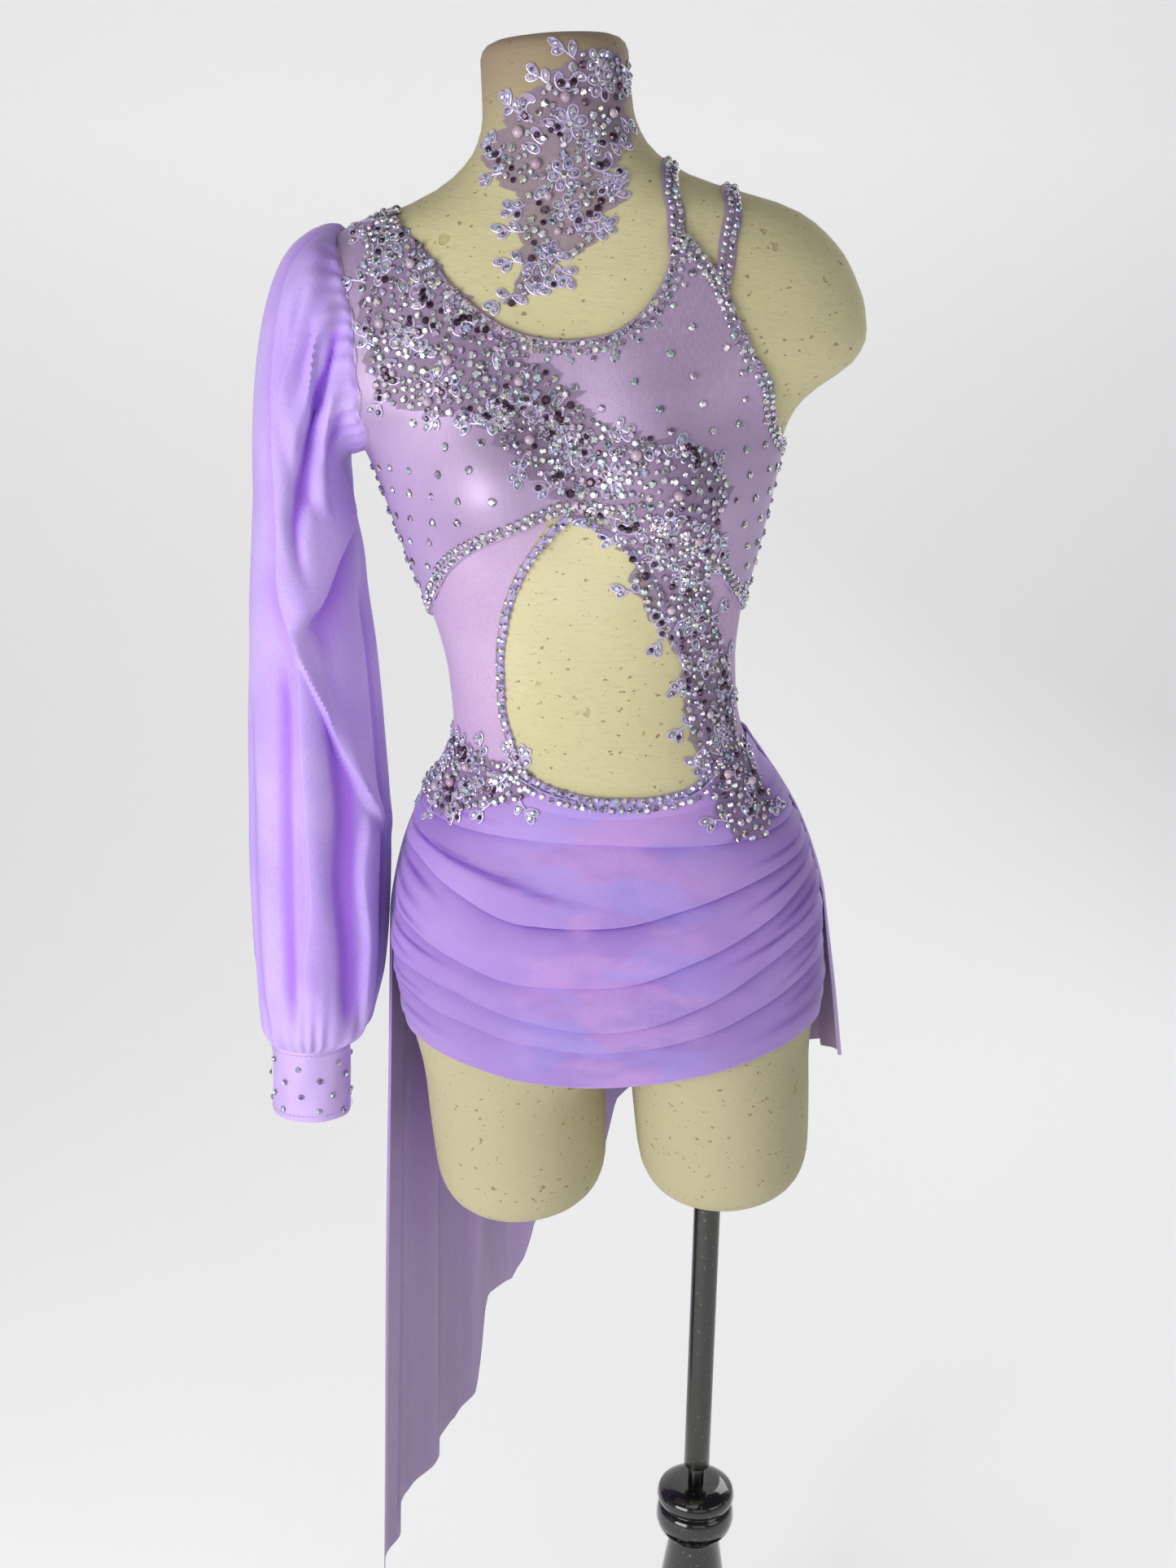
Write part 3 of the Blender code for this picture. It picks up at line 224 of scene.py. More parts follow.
def relaxedGrid(grid, steps):  # Winslow's equations: the inner lines part until none cross
    flat = np.array([relaxing["degree"], 1.0])
    plan = grid * flat
    for _ in range(steps):
        along = (plan[1:-1, 2:] - plan[1:-1, :-2]) / 2
        upward = (plan[2:, 1:-1] - plan[:-2, 1:-1]) / 2
        products = ((upward, upward), (along, upward), (along, along))
        alpha, beta, gamma = ((a * b).sum(-1, keepdims=True) for a, b in products)
        twist = (plan[2:, 2:] - plan[2:, :-2] - plan[:-2, 2:] + plan[:-2, :-2]) / 4
        sides = alpha * (plan[1:-1, 2:] + plan[1:-1, :-2]) + gamma * (plan[2:, 1:-1] + plan[:-2, 1:-1])
        wanted = (sides - 2 * beta * twist) / (2 * (alpha + gamma))
        plan[1:-1, 1:-1] += relaxing["pace"] * (wanted - plan[1:-1, 1:-1])
    return plan / flat


def smoothGrid(bottom, top, left, right):  # relaxed coarse first, then spread over the fine lines and relaxed again
    coarse = relaxedGrid(filledGrid(bottom[::fine], top[::fine], left[::fine], right[::fine]), relaxing["coarse"])
    grid = spread(spread(coarse, len(left)).swapaxes(0, 1), len(bottom)).swapaxes(0, 1)
    grid[0], grid[-1], grid[:, 0], grid[:, -1] = bottom, top, left, right
    return relaxedGrid(grid, relaxing["fine"])


# meshes


def gridFaces(rows, columns, closed=False):
    row = np.arange(rows - 1)[:, None] * columns
    column = np.arange(columns if closed else columns - 1)[None, :]
    after = (column + 1) % columns
    return stacked(row + column, row + after, row + columns + after, row + columns + column).reshape(-1, 4)


def fan(edge, tip):  # triangles from a closed ring of points to one point
    return [[point, after, tip] for point, after in zip(edge, [*edge[1:], edge[0]])]


def addMesh(name, points, faces, finish, marks=None, flat=False, sharpAt=50, faceMarks=None):
    mesh = bpy.data.meshes.new(name)
    mesh.from_pydata(np.asarray(points).reshape(-1, 3).tolist(), [], [list(f) for f in faces])
    work = bmesh.new()
    work.from_mesh(mesh)
    bmesh.ops.recalc_face_normals(work, faces=work.faces)
    work.to_mesh(mesh)
    work.free()
    for domain, given in (("POINT", marks), ("FACE", faceMarks)):
        for key, values in (given or {}).items():
            mesh.attributes.new(key, "FLOAT", domain).data.foreach_set("value", np.asarray(values, np.float32).ravel())
    mesh.materials.append(finish)
    if not flat:
        mesh.shade_smooth()
        mesh.set_sharp_from_angle(angle=math.radians(sharpAt))
    made = bpy.data.objects.new(name, mesh)
    bpy.context.scene.collection.objects.link(made)
    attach(made, "root")
    return made


def dressed(made, slot, *nodes):  # hides the solids that a piece stands for, if any; slot is not used
    if nodes:
        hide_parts(*nodes)
    return made


def clothShell(name, inner, outer, finish, closed=False, foldShade=0.0):
    # one closed shell between two grids; a closed one runs round like a sleeve. foldShade is painted shade, 1 deep in a
    # crease
    rows, columns = inner.shape[:2]
    half = rows * columns
    front = gridFaces(rows, columns, closed)
    faces = [front, front[:, ::-1] + half]
    number = np.arange(half).reshape(rows, columns)
    for rim in [number[0], number[-1]] + ([] if closed else [number[:, 0], number[:, -1]]):
        after = np.roll(rim, -1) if closed else rim[1:]
        rim = rim if closed else rim[:-1]
        faces.append(stacked(rim, after, after + half, rim + half))
    across, upward = (np.linalg.norm(np.diff(outer, axis=axis), axis=2) for axis in (1, 0))
    u = np.concatenate([np.zeros((rows, 1)), np.cumsum(across, axis=1)], axis=1)
    v = np.concatenate([np.zeros((1, columns)), np.cumsum(upward, axis=0)], axis=0)
    marks = {"threadAcross": u - u.mean(axis=1, keepdims=True), "threadAlong": v, "foldShade": foldShade + 0 * u}
    marks = {key: np.concatenate([values, values]) for key, values in marks.items()}
    return addMesh(name, np.concatenate([outer, inner]), np.concatenate(faces), finish, marks)


def treeOf(*objects):
    points, faces = [], []
    for made in objects:
        start = len(points)
        points += [v.co for v in made.data.vertices]
        faces += [[start + i for i in p.vertices] for p in made.data.polygons]
    return BVHTree.FromPolygons(points, faces)


def onTop(tree, places, facing, rise):  # each place dropped onto the dressed form from outside, and lifted by rise
    reach = 0.06
    out = np.empty_like(places)
    for k, (place, way) in enumerate(zip(places, facing)):
        hit = tree.ray_cast(Vector(place + way * reach), Vector(-way), 2 * reach)[0]
        out[k] = (np.array(hit) if hit is not None else place) + way * rise
    return out


def tubeOf(path, sideways, facing, radius, closed=False, sides=5, flatten=1.0):
    turns = turnsOf(sides)[None, :, None]
    ring = np.cos(turns) * sideways[:, None] + np.sin(turns) * facing[:, None] * flatten
    points = path[:, None] + ring * np.reshape(radius, (-1, 1, 1))
    rows = len(path)
    faces = gridFaces(rows + (1 if closed else 0), sides, True) % (rows * sides)
    caps = [] if closed else [list(range(sides)), list(range((rows - 1) * sides, rows * sides))[::-1]]
    return points.reshape(-1, 3), faces.tolist() + caps


class Bits:  # many small pieces gathered into one mesh
    def __init__(self):
        self.points, self.faces, self.marks, self.facets, self.count = [], [], [], [], 0

    def add(self, points, faces, mark=0.0, facets=None):
        self.points.append(points)
        self.faces += [[self.count + i for i in face] for face in faces]
        self.marks.append(np.full(len(points), mark))
        self.facets += facets or [1.0] * len(faces)
        self.count += len(points)

    def build(self, name, finish, flat=False):
        marks, facets = {"tint": np.concatenate(self.marks)}, {"facet": self.facets}
        return addMesh(name, np.concatenate(self.points), self.faces, finish, marks, flat, faceMarks=facets)


# finishes


def operatorPair(operation):  # an operator as written, and reflected
    return (
        lambda wire, other: wire.calculate(operation, wire, other),
        lambda wire, other: wire.calculate(operation, other, wire),
    )


class Wire:  # a shader value that takes plain maths
    def __init__(self, finish, socket):
        self.finish, self.socket = finish, socket

    def calculate(self, operation, first, second=0.0):
        return self.finish.node("ShaderNodeMath", {"operation": operation}, {0: first, 1: second})

    __add__, __radd__ = operatorPair("ADD")
    __sub__, __rsub__ = operatorPair("SUBTRACT")
    __mul__, __rmul__ = operatorPair("MULTIPLY")

    def sine(self):
        return self.calculate("SINE", self)


class Finish:
    def __init__(self, name, plain):
        self.material = bpy.data.materials.new(name)
        self.material.use_nodes = True
        self.tree = self.material.node_tree
        self.shader = self.tree.nodes["Principled BSDF"]
        for key, value in plain.items():
            self.shader.inputs[key].default_value = value

    def node(self, kind, settings, inputs, output=0):
        made = self.tree.nodes.new(kind)
        stops = settings.pop("stops", ())
        for key, value in settings.items():
            setattr(made, key, value)
        if stops:
            points = made.color_ramp.elements
            while len(points) < len(stops):
                points.new(0.5)
            for point, (place, colour) in zip(points, stops):
                point.position, point.color = place, (*colour, 1)
        for key, value in inputs.items():
            if isinstance(value, Wire):
                self.tree.links.new(value.socket, made.inputs[key])
            else:
                made.inputs[key].default_value = value
        return Wire(self, made.outputs[output])

    def place(self, scale=(1, 1, 1)):  # where the point is, in metres, stretched
        where = self.node("ShaderNodeTexCoord", {}, {}, "Object")
        return self.node("ShaderNodeVectorMath", {"operation": "MULTIPLY"}, {0: where, 1: scale})

    def along(self, axis):
        return self.node("ShaderNodeSeparateXYZ", {}, {0: self.place()}, axis)

    def mark(self, name):
        return self.node("ShaderNodeAttribute", {"attribute_name": name}, {}, "Fac")

    def cloud(self, scale, detail=2.0, roughness=0.5):  # one scale, or three that stretch it
        where, size = (self.place(scale), 1) if isinstance(scale, tuple) else (self.place(), scale)
        inputs = {"Vector": where, "Scale": size, "Detail": detail, "Roughness": roughness}
        return self.node("ShaderNodeTexNoise", {}, inputs)

    def ramp(self, value, *stops):
        return self.node("ShaderNodeValToRGB", {"stops": stops}, {"Fac": value})

    def mask(self, value, low, high):  # 0 below low and 1 above high
        inputs = {"Value": value, "From Min": low, "From Max": high}
        return self.node("ShaderNodeMapRange", {"interpolation_type": "SMOOTHSTEP"}, inputs)

    def mix(self, factor, first, second):
        first, second = ((*c, 1) if isinstance(c, tuple) and len(c) == 3 else c for c in (first, second))
        settings = {"data_type": "RGBA", "blend_type": "MIX"}
        return self.node("ShaderNodeMix", settings, {0: factor, 6: first, 7: second}, 2)

    def bump(self, height, distance, strength):
        return self.node("ShaderNodeBump", {}, {"Height": height, "Distance": distance, "Strength": strength})

    def weave(self, across, along):  # over and under threads, as two crossed waves
        u = (self.mark("threadAcross") * (math.pi / across)).sine()
        v = (self.mark("threadAlong") * (math.pi / along)).sine()
        return u * v

    def feed(self, **wires):
        names = {"colour": "Base Color", "roughness": "Roughness", "alpha": "Alpha", "normal": "Normal"}
        for key, wire in wires.items():
            self.tree.links.new(wire.socket, self.shader.inputs[names[key]])
        return self.material


def linenFinish():
    f = Finish("pressed linen", {"Roughness": 0.82, "Sheen Weight": 0.05})
    cream = f.ramp(f.cloud(7, 4), (0.3, (0.55, 0.51, 0.28)), (0.55, (0.6, 0.555, 0.32)), (0.75, (0.635, 0.585, 0.37)))
    fibre = f.cloud((110, 110, 420), 3, 0.7)
    cream = f.mix(f.mask(fibre, 0.5, 0.72) * 0.35, cream, (0.43, 0.39, 0.235))
    stain = f.mask(f.cloud((5.5, 5.5, 7.15), 3), 0.6, 0.78) * 0.22
    cream = f.mix(stain, cream, (0.5, 0.38, 0.37))
    up = f.along(2)
    cream = f.mix(f.mask(up, 0.9, 0.8) * 0.7, cream, (0.4, 0.365, 0.225))  # painted shade: darker low down, under the skirt
    cream = f.mix(f.mask(up, 1.4, 1.5) * 0.85, cream, (0.27, 0.19, 0.13))
    fleck = f.mask(f.cloud((150, 150, 240), 2, 0.6), 0.665, 0.715)
    cream = f.mix(fleck * 0.75, cream, (0.2, 0.145, 0.065))
    chip = f.mask(f.cloud((52, 52, 60), 2, 0.55), 0.7, 0.735)
    cream = f.mix(chip * 0.6, cream, (0.4, 0.33, 0.13))
    relief = fibre * 0.6 - fleck * 0.5 - chip * 0.9 + f.cloud(38, 3) * 0.7
    return f.feed(colour=cream, normal=f.bump(relief, 0.0009, 0.7))


def satinFinish(name, low, high):
    f = Finish(name, {
        "Roughness": 0.36, "Sheen Weight": 0.35, "Sheen Roughness": 0.35, "Sheen Tint": (0.86, 0.76, 1.0, 1),
        "Specular IOR Level": 0.8, "Anisotropic": 0.5, "Metallic": 0.48, "Coat Weight": 0.45, "Coat Roughness": 0.5,
    })
    tone = f.ramp(f.cloud(9, 3), (0.3, low), (0.7, high))
    tone = f.mix(f.mask(f.along(2), 1.19, 1.33) * 0.5, tone, (0.26, 0.18, 0.29))  # painted shade: darker towards the shoulders
    slub = f.cloud((900, 900, 60))
    tone = f.mix(f.mask(slub, 0.4, 0.7) * 0.25, tone, (0.62, 0.48, 0.72))
    weave = f.weave(0.00055, 0.0011)
    return f.feed(
        colour=tone, roughness=0.5 + slub * 0.14, normal=f.bump(weave * 0.5 + f.cloud(60) * 0.8, 0.00012, 0.55))


def meshFinish(name, pale, deep, alphaLow, alphaHigh, shade=(0.58, 0.36, 0.78), fadeFrom=None, moireAndHemShade=False):
    sheen = {"Sheen Weight": 0.55, "Sheen Roughness": 0.45, "Sheen Tint": (0.82, 0.74, 1.0, 1)}
    f = Finish(name, {"Roughness": 0.72, **sheen})
    tone = f.mix(f.mask(f.cloud(14, 3), 0.35, 0.7), deep, pale)
    # painted shade: towards the shade colour where foldShade marks a crease or fold
    tone = f.mix(f.mark("foldShade"), tone, tuple(c * s for c, s in zip(deep, shade)))
    up = f.along(2)
    if moireAndHemShade:  # where two layers of net lie over one another; darker towards the hem is painted shade
        # painted shade: darker towards the hem
        tone = f.mix(f.mask(up, 0.87, 0.79) * 0.3, tone, (0.23, 0.16, 0.42))
        side = f.along(0)
        centre = f.mask((side + 0.085) * (side + 0.085), 0.01, 0.0008)
        rings = f.mask((f.cloud((16, 16, 30)) * 95.0 + up * 260.0).sine(), 0.0, 1.0)
        patch = f.mask(f.cloud((17, 17, 40)), 0.42, 0.62)
        tone = f.mix(centre * patch * (0.36 + rings * 0.08), tone, (0.6, 0.33, 0.72))
        cool = f.mask(f.cloud((14, 14, 34)), 0.56, 0.42)
        tone = f.mix(centre * cool * (0.4 - rings * 0.06), tone, (0.32, 0.3, 0.8))
    net = f.weave(0.0009, 0.0009)
    alpha = alphaHigh - f.mask(f.cloud((700, 700, 700), 1), 0.45, 0.75) * (alphaHigh - alphaLow)
    if fadeFrom:  # single cloth hanging free shows paler and thinner low down; a painted highlight makes it palest at the wearer's left
        low = f.mask(up, fadeFrom[0], fadeFrom[1])
        alpha = alpha - low * fadeFrom[2]
        tone = f.mix(low * 0.75, tone, (0.385, 0.275, 0.47))
        # painted highlight: paler towards the wearer's left side
        tone = f.mix(f.mask(f.along(0), 0.07, 0.12) * 0.7, tone, (0.74, 0.62, 0.74))
    return f.feed(colour=tone, alpha=alpha, normal=f.bump(net * 0.6 + f.cloud(90), 0.00016, 0.5))


def threadFinish(name, colour, roughness, metallic, twist=0.0009):
    f = Finish(name, {"Roughness": roughness, "Metallic": metallic, "Sheen Weight": 0.3})
    tone = f.mix(f.mask(f.cloud(160), 0.35, 0.7), colour, tuple(min(1, c * 1.35) for c in colour))
    return f.feed(colour=tone, normal=f.bump(f.cloud(1 / twist, 1), 0.0003, 0.8))


def stoneFinish(name, stops, metallic, shade, roughness=0.1):
    # each facet has a painted brightness of its own: painted reflections and glints, as cut glass with a foiled back
    # shows them
    f = Finish(name, {"Metallic": metallic, "Roughness": roughness, "Coat Weight": 0.6, "Coat Roughness": 0.04})
    tone = f.mix(f.mark("facet"), shade, f.ramp(f.mark("tint"), *stops))
    return f.feed(colour=tone, roughness=roughness + f.cloud(300, 0) * 0.05)


def pearlFinish():
    f = Finish("pearl", {"Roughness": 0.22, "Coat Weight": 0.8, "Coat Roughness": 0.08, "Sheen Weight": 0.2})
    tone = f.ramp(f.mark("tint"), (0.0, (0.42, 0.28, 0.38)), (0.5, (0.5, 0.37, 0.47)), (1.0, (0.46, 0.36, 0.44)))
    return f.feed(colour=f.mix(f.mask(f.cloud(120, 1), 0.3, 0.7) * 0.3, tone, (0.66, 0.55, 0.61)))


def glossFinish(name, colour, roughness, metallic=0.0):
    f = Finish(name, {"Metallic": metallic, "Coat Weight": 0.0 if metallic else 0.7, "Coat Roughness": 0.05})
    dust = f.mask(f.cloud(420, 0), 0.76, 0.8)
    return f.feed(colour=f.mix(dust * 0.25, colour, (0.5, 0.5, 0.5)), roughness=roughness + f.cloud(18, 4) * 0.1)


linen = linenFinish()
satin = satinFinish("mauve satin", (0.47, 0.345, 0.56), (0.53, 0.395, 0.62))
cuffSatin = satinFinish("lilac cuff satin", (0.55, 0.4, 0.8), (0.61, 0.45, 0.88))
skirtMesh = meshFinish(
    "ruched lilac mesh", (0.425, 0.265, 0.67), (0.375, 0.225, 0.63), 0.95, 1.0, (0.36, 0.18, 0.56), moireAndHemShade=True)
trainMesh = meshFinish(
    "train mesh", (0.5, 0.325, 0.76), (0.44, 0.275, 0.71), 0.8, 0.9, (0.62, 0.42, 0.78), fadeFrom=(0.8, 0.42, 0.2))
sleeveMesh = meshFinish("sleeve mesh", (0.64, 0.47, 0.95), (0.56, 0.38, 0.92), 0.8, 0.9, (0.76, 0.46, 0.94))
sideMesh = meshFinish("sheer side mesh", (0.76, 0.55, 0.86), (0.7, 0.49, 0.82), 0.42, 0.56)
netGround = meshFinish("lace net", (0.42, 0.31, 0.46), (0.36, 0.26, 0.41), 0.22, 0.38)
bindingSatin = threadFinish("lilac binding", (0.33, 0.255, 0.56), 0.42, 0.0, 0.0016)
cordThread = threadFinish("silver lilac cord", (0.52, 0.47, 0.66), 0.36, 0.45)
petalThread = threadFinish("stitched petal", (0.43, 0.34, 0.52), 0.48, 0.2)
seamThread = threadFinish("sewing thread", (0.36, 0.25, 0.56), 0.6, 0.0)
clearStone = stoneFinish("clear stones", (
    (0.0, (0.8, 0.8, 0.86)), (0.3, (0.86, 0.84, 0.9)), (0.45, (0.74, 0.58, 0.86)), (0.58, (0.86, 0.72, 0.8)),
    (0.7, (0.56, 0.62, 0.92)), (0.82, (0.9, 0.88, 0.7)), (0.92, (0.6, 0.86, 0.86)), (1.0, (0.82, 0.82, 0.88)),
), 0.5, (0.1, 0.085, 0.12))
darkStone = stoneFinish("amethyst stones", (
    (0.0, (0.045, 0.012, 0.035)), (0.6, (0.085, 0.03, 0.075)), (1.0, (0.16, 0.07, 0.13)),
), 0.55, (0.012, 0.004, 0.01))
pearl = pearlFinish()
blackGloss = glossFinish("black gloss", (0.006, 0.006, 0.007), 0.06)
darkChrome = glossFinish("dark chrome", (0.085, 0.085, 0.08), 0.16, 1.0)
print("finishes: done")

# the form and its stand


def thighLoop(above, side, height, roundness, scale):
    centre = np.array([side * form["thighCentre"], form["thighBack"]])
    size = np.array([form["thighHalfWidth"], form["thighHalfDepth"]])
    away = above[:, :2] - centre
    turn = np.arctan2(away[:, 1] / size[1], away[:, 0] / size[0])
    ellipse = centre + stacked(size[0] * np.cos(turn), size[1] * np.sin(turn))
    plan = above[:, :2] * (1 - roundness) + ellipse * roundness
    inside = form["thighInside"] * (1 - roundness) + form["thighInsideRound"] * roundness
    plan[:, 0] = side * np.maximum(side * plan[:, 0], inside)
    return np.column_stack([centre + (plan - centre) * scale, np.full(len(above), height)])


def makeForm():
    steps = form["steps"]
    half = steps // 2
    low, high = thighs["height"][0], formSections["height"][-1]
    angles = np.arange(steps) * 360 / steps
    rings = [bareForm(angles, height) for height in np.linspace(low, high, form["rings"])]
    neckTop = rings[-1]
    for height, scale in form["caps"]:
        middle = neckTop.mean(axis=0)
        rings.append(middle + (neckTop - middle) * scale)
        rings[-1][:, 2] = height
    points = np.concatenate(rings).tolist()
    faces = gridFaces(len(rings), steps, True).tolist()
    faces.append([(len(rings) - 1) * steps + step for step in range(steps)])
    shares = np.arange(1, form["crotchSteps"] + 1)[:, None] / (form["crotchSteps"] + 1)
    crotch = rings[0][half] * (1 - shares) + rings[0][0] * shares
    crotch[:, 2] += form["crotchRise"] * np.sin(math.pi * shares[:, 0])
    crotchNumbers = [len(points) + step for step in range(len(crotch))]
    points += crotch.tolist()
    index = np.arange(len(thighs["height"]), dtype=float)
    for side in (1, -1):
        outer = [side * step % steps for step in range(half + 1)]
        numbers = outer + crotchNumbers
        hip = np.concatenate([rings[0][outer], crotch])
        for row in np.linspace(0, index[-1], form["thighRows"] + 1)[1:]:
            values = [float(steady(index, thighs[key], row)) for key in ("height", "roundness", "scale")]
            below = [len(points) + step for step in range(len(hip))]
            points += thighLoop(hip, side, *values).tolist()
            for step in range(len(hip)):
                after = (step + 1) % len(hip)
                faces.append([numbers[step], numbers[after], below[after], below[step]])
            numbers = below
        faces.append(numbers)
    made = addMesh("dress_form", leanOver(np.array(points)), faces, linen, sharpAt=60)
    return dressed(made, "linen", "form")


stand = {
    "pole": 0.01125, "poleTop": 0.655, "poleFoot": 0.336, "bevel": 0.0008, "rod": 0.0072, "rodTop": 0.3357,
    "rodFoot": 0.3183, "steps": 96, "smooth": 3,
}
columnProfile = columnsOf(
    "radius height",
    (0.0125, 0.318), (0.02, 0.3176), (0.025, 0.3165), (0.03, 0.314), (0.0325, 0.312), (0.0342, 0.306), (0.0322, 0.3),
    (0.0295, 0.298), (0.032, 0.2955), (0.0335, 0.292), (0.0345, 0.284), (0.032, 0.274), (0.025, 0.268),
    (0.022, 0.263), (0.0228, 0.256), (0.0275, 0.225), (0.034, 0.17), (0.041, 0.105), (0.056, 0.062), (0.07, 0.053),
    (0.078, 0.05), (0.08, 0.0453),
)
footProfile = columnsOf(
    "radius height",
    (0.08, 0.045), (0.11, 0.0412), (0.14, 0.0365), (0.165, 0.03), (0.183, 0.0245), (0.1895, 0.0205), (0.193, 0.016),
    (0.195, 0.008), (0.1945, 0.0035), (0.193, 0.0),
)


def turnedPiece(name, profile, finish, node, slot):
    count = len(profile["radius"])
    index = np.arange(count, dtype=float)
    wanted = np.linspace(0, count - 1, (count - 1) * stand["smooth"] + 1)
    radius, height = (steady(index, profile[key], wanted)[:, None] for key in ("radius", "height"))
    steps = stand["steps"]
    turns = turnsOf(steps)
    faces = gridFaces(len(radius), steps, True).tolist()
    faces += [list(range(steps)), list(range((len(radius) - 1) * steps, len(radius) * steps))]
    made = addMesh(name, stacked(radius * np.cos(turns), radius * np.sin(turns), height), faces, finish, sharpAt=35)
    return dressed(made, slot, node)


def makeStand():
    r, foot, bevel = stand["pole"], stand["poleFoot"], stand["bevel"]
    tube = columnsOf("radius height", (r, stand["poleTop"]), (r, foot + bevel), (r - bevel, foot))
    rod = columnsOf("radius height", (stand["rod"], stand["rodTop"]), (stand["rod"], stand["rodFoot"]))
    turnedPiece("pole_tube", tube, darkChrome, "pole", "dark_chrome")
    turnedPiece("pole_inner_rod", rod, darkChrome, "pole_rod", "dark_chrome")
    turnedPiece("turned_column", columnProfile, blackGloss, "stand_column", "black_gloss")
    turnedPiece("round_foot", footProfile, blackGloss, "stand_foot", "black_gloss")


dressForm = makeForm()
makeStand()
print("form and stand: done")

# bodice, side meshes and hip band, all lying on the form

bodiceLowerEdge = outlineOf(
    (-90, 1.112), (-72.8, 1.122), (-57, 1.14), (-48, 1.154), (-28, 1.179), (-15, 1.19), (-2.3, 1.1975), (6.8, 1.1945),
    (17.9, 1.184), (28.8, 1.17), (39.7, 1.153), (52.8, 1.134), (71.3, 1.112), (90, 1.102),
)
rightArmhole = outlineOf(
    (-90, 1.24), (-71, 1.247), (-52, 1.27), (-43, 1.288), (-42, 1.31), (-43, 1.332), (-46, 1.348), (-51, 1.364),
    (-62, 1.381), (-75, 1.39), (-90, 1.394),
)
neckline = outlineOf(
    (-90, 1.408), (-54, 1.4), (-42, 1.391), (-30, 1.377), (-19.4, 1.3493), (-11.3, 1.3265), (-5.9, 1.317),
    (0, 1.3128), (4.7, 1.314), (10.2, 1.3234), (15.3, 1.341), (18.9, 1.359), (21.4, 1.376), (25.8, 1.376),
)
leftArmhole = outlineOf(
    (90, 1.228), (73, 1.234), (51.3, 1.263), (34.9, 1.293), (30.6, 1.321), (28.9, 1.346), (25.8, 1.376),
)
backNeckline = outlineOf(
    (90, 1.228), (107, 1.234), (128, 1.258), (145, 1.288), (156, 1.304), (165, 1.313), (180, 1.318), (195, 1.328),
    (208, 1.343), (220, 1.365), (232, 1.386), (250, 1.401), (270, 1.408),
)
backLowerEdge = outlineOf(
    (90, 1.102), (120, 1.094), (180, 1.09), (240, 1.1), (270, 1.112),
)
backWaist = outlineOf(
    (90, 1.003), (180, 0.999), (270, 1.006),
)
cutOut = outlineOf(
    (-2.3, 1.192), (-10.2, 1.173), (-18, 1.149), (-26.7, 1.116), (-32.2, 1.085), (-33.9, 1.053), (-31.2, 1.029),
    (-24.7, 1.006), (-10.6, 0.992), (2.9, 0.984), (15.1, 0.982), (26.8, 0.984), (36.5, 0.991), (43.0, 1.008),
    (43.8, 1.0235), (39.2, 1.056), (32.2, 1.089), (28.1, 1.108), (19.2, 1.14), (8.8, 1.173),
)
rightMeshEdge = outlineOf(
    (-29.5, 1.0035), (-34.8, 1.027), (-37.9, 1.053), (-35.9, 1.086), (-30.1, 1.118), (-21.1, 1.151), (-13.1, 1.1755),
    (-7.6, 1.1925),
)
leftMeshEdge = outlineOf(
    (46.8, 1.0), (48.3, 1.0235), (43.3, 1.057), (36.1, 1.09), (31.5, 1.11), (22.3, 1.143), (12.2, 1.1755),
    (5.2, 1.1935),
)
hipBandTop = outlineOf(
    (-90, 1.006), (-45, 1.005), (-29.5, 1.003), (-26.8, 1.0), (-11.7, 0.9864), (2.9, 0.9784), (15.1, 0.9764),
    (27.8, 0.9784), (38.7, 0.9858), (46.8, 0.9995), (60, 1.0005), (90, 1.003),
)
skirtTop = outlineOf(
    (-90, 0.997), (-57, 0.989), (-37, 0.984), (-21, 0.979), (-8, 0.971), (5, 0.967), (19, 0.966), (38, 0.97),
    (60, 0.98), (90, 0.989),
)
layers = {  # how far each cloth's two faces stand off the form
    "mesh": (0.0006, 0.0012), "satin": (0.0016, 0.0027), "seamGap": 0.25, "tuckedUnder": 0.003, "shoulder": 1.408,
}


def layPanel(name, grid, layer, finish, node, slot, relief):
    inner, outer = (offForm(grid[..., 0], grid[..., 1], off + relief) for off in layers[layer])
    return dressed(clothShell(name, inner, outer, finish), slot, node)


pulls = {
    "scale": 22, "deep": 0.7, "edge": 0.05, "side": 0.04, "puckers": 0.16, "puckerEdge": 0.04, "puckerSide": 0.03,
    "turnOver": 1.9, "turnDown": 2.1,
}


def softPulls(grid, amount, seed):  # shallow pulls and puckers, a little deeper beside the seams
    world = offForm(grid[..., 0], grid[..., 1], 0)
    wide = np.array([[noise.noise(Vector(p) * pulls["scale"] + Vector((seed, 0, 0))) for p in row] for row in world])
    down, over = (np.arange(count) for count in wide.shape)
    fromEdge = np.minimum(down, down[::-1])[:, None] / len(down)
    fromSide = np.minimum(over, over[::-1])[None, :] / len(over)
    near = np.exp(-fromEdge / pulls["edge"]) + np.exp(-fromSide / pulls["side"])
    pucker = np.sin(over * pulls["turnOver"])[None, :] * np.exp(-fromEdge / pulls["puckerEdge"])
    pucker = pucker + np.sin(down * pulls["turnDown"])[:, None] * np.exp(-fromSide / pulls["puckerSide"])
    return amount * (pulls["deep"] * (wide + 0.5) * np.clip(1 - near, 0, 1) + pulls["puckers"] * (pucker + 1))


def laySatin(name, grid, node, amount, seed):
    return layPanel(name, grid, "satin", satin, node, "mauve_satin", softPulls(grid, amount, seed))


def laySheer(name, grid, node, amount, seed):
    return layPanel(name, grid, "mesh", sideMesh, node, "sheer_mesh", softPulls(grid, amount, seed))


def clearOfSeams(grid):  # a back panel stops just short of the side seams
    grid[..., 0] = 180 + (grid[..., 0] - 180) * (90 - layers["seamGap"]) / 90
    return grid


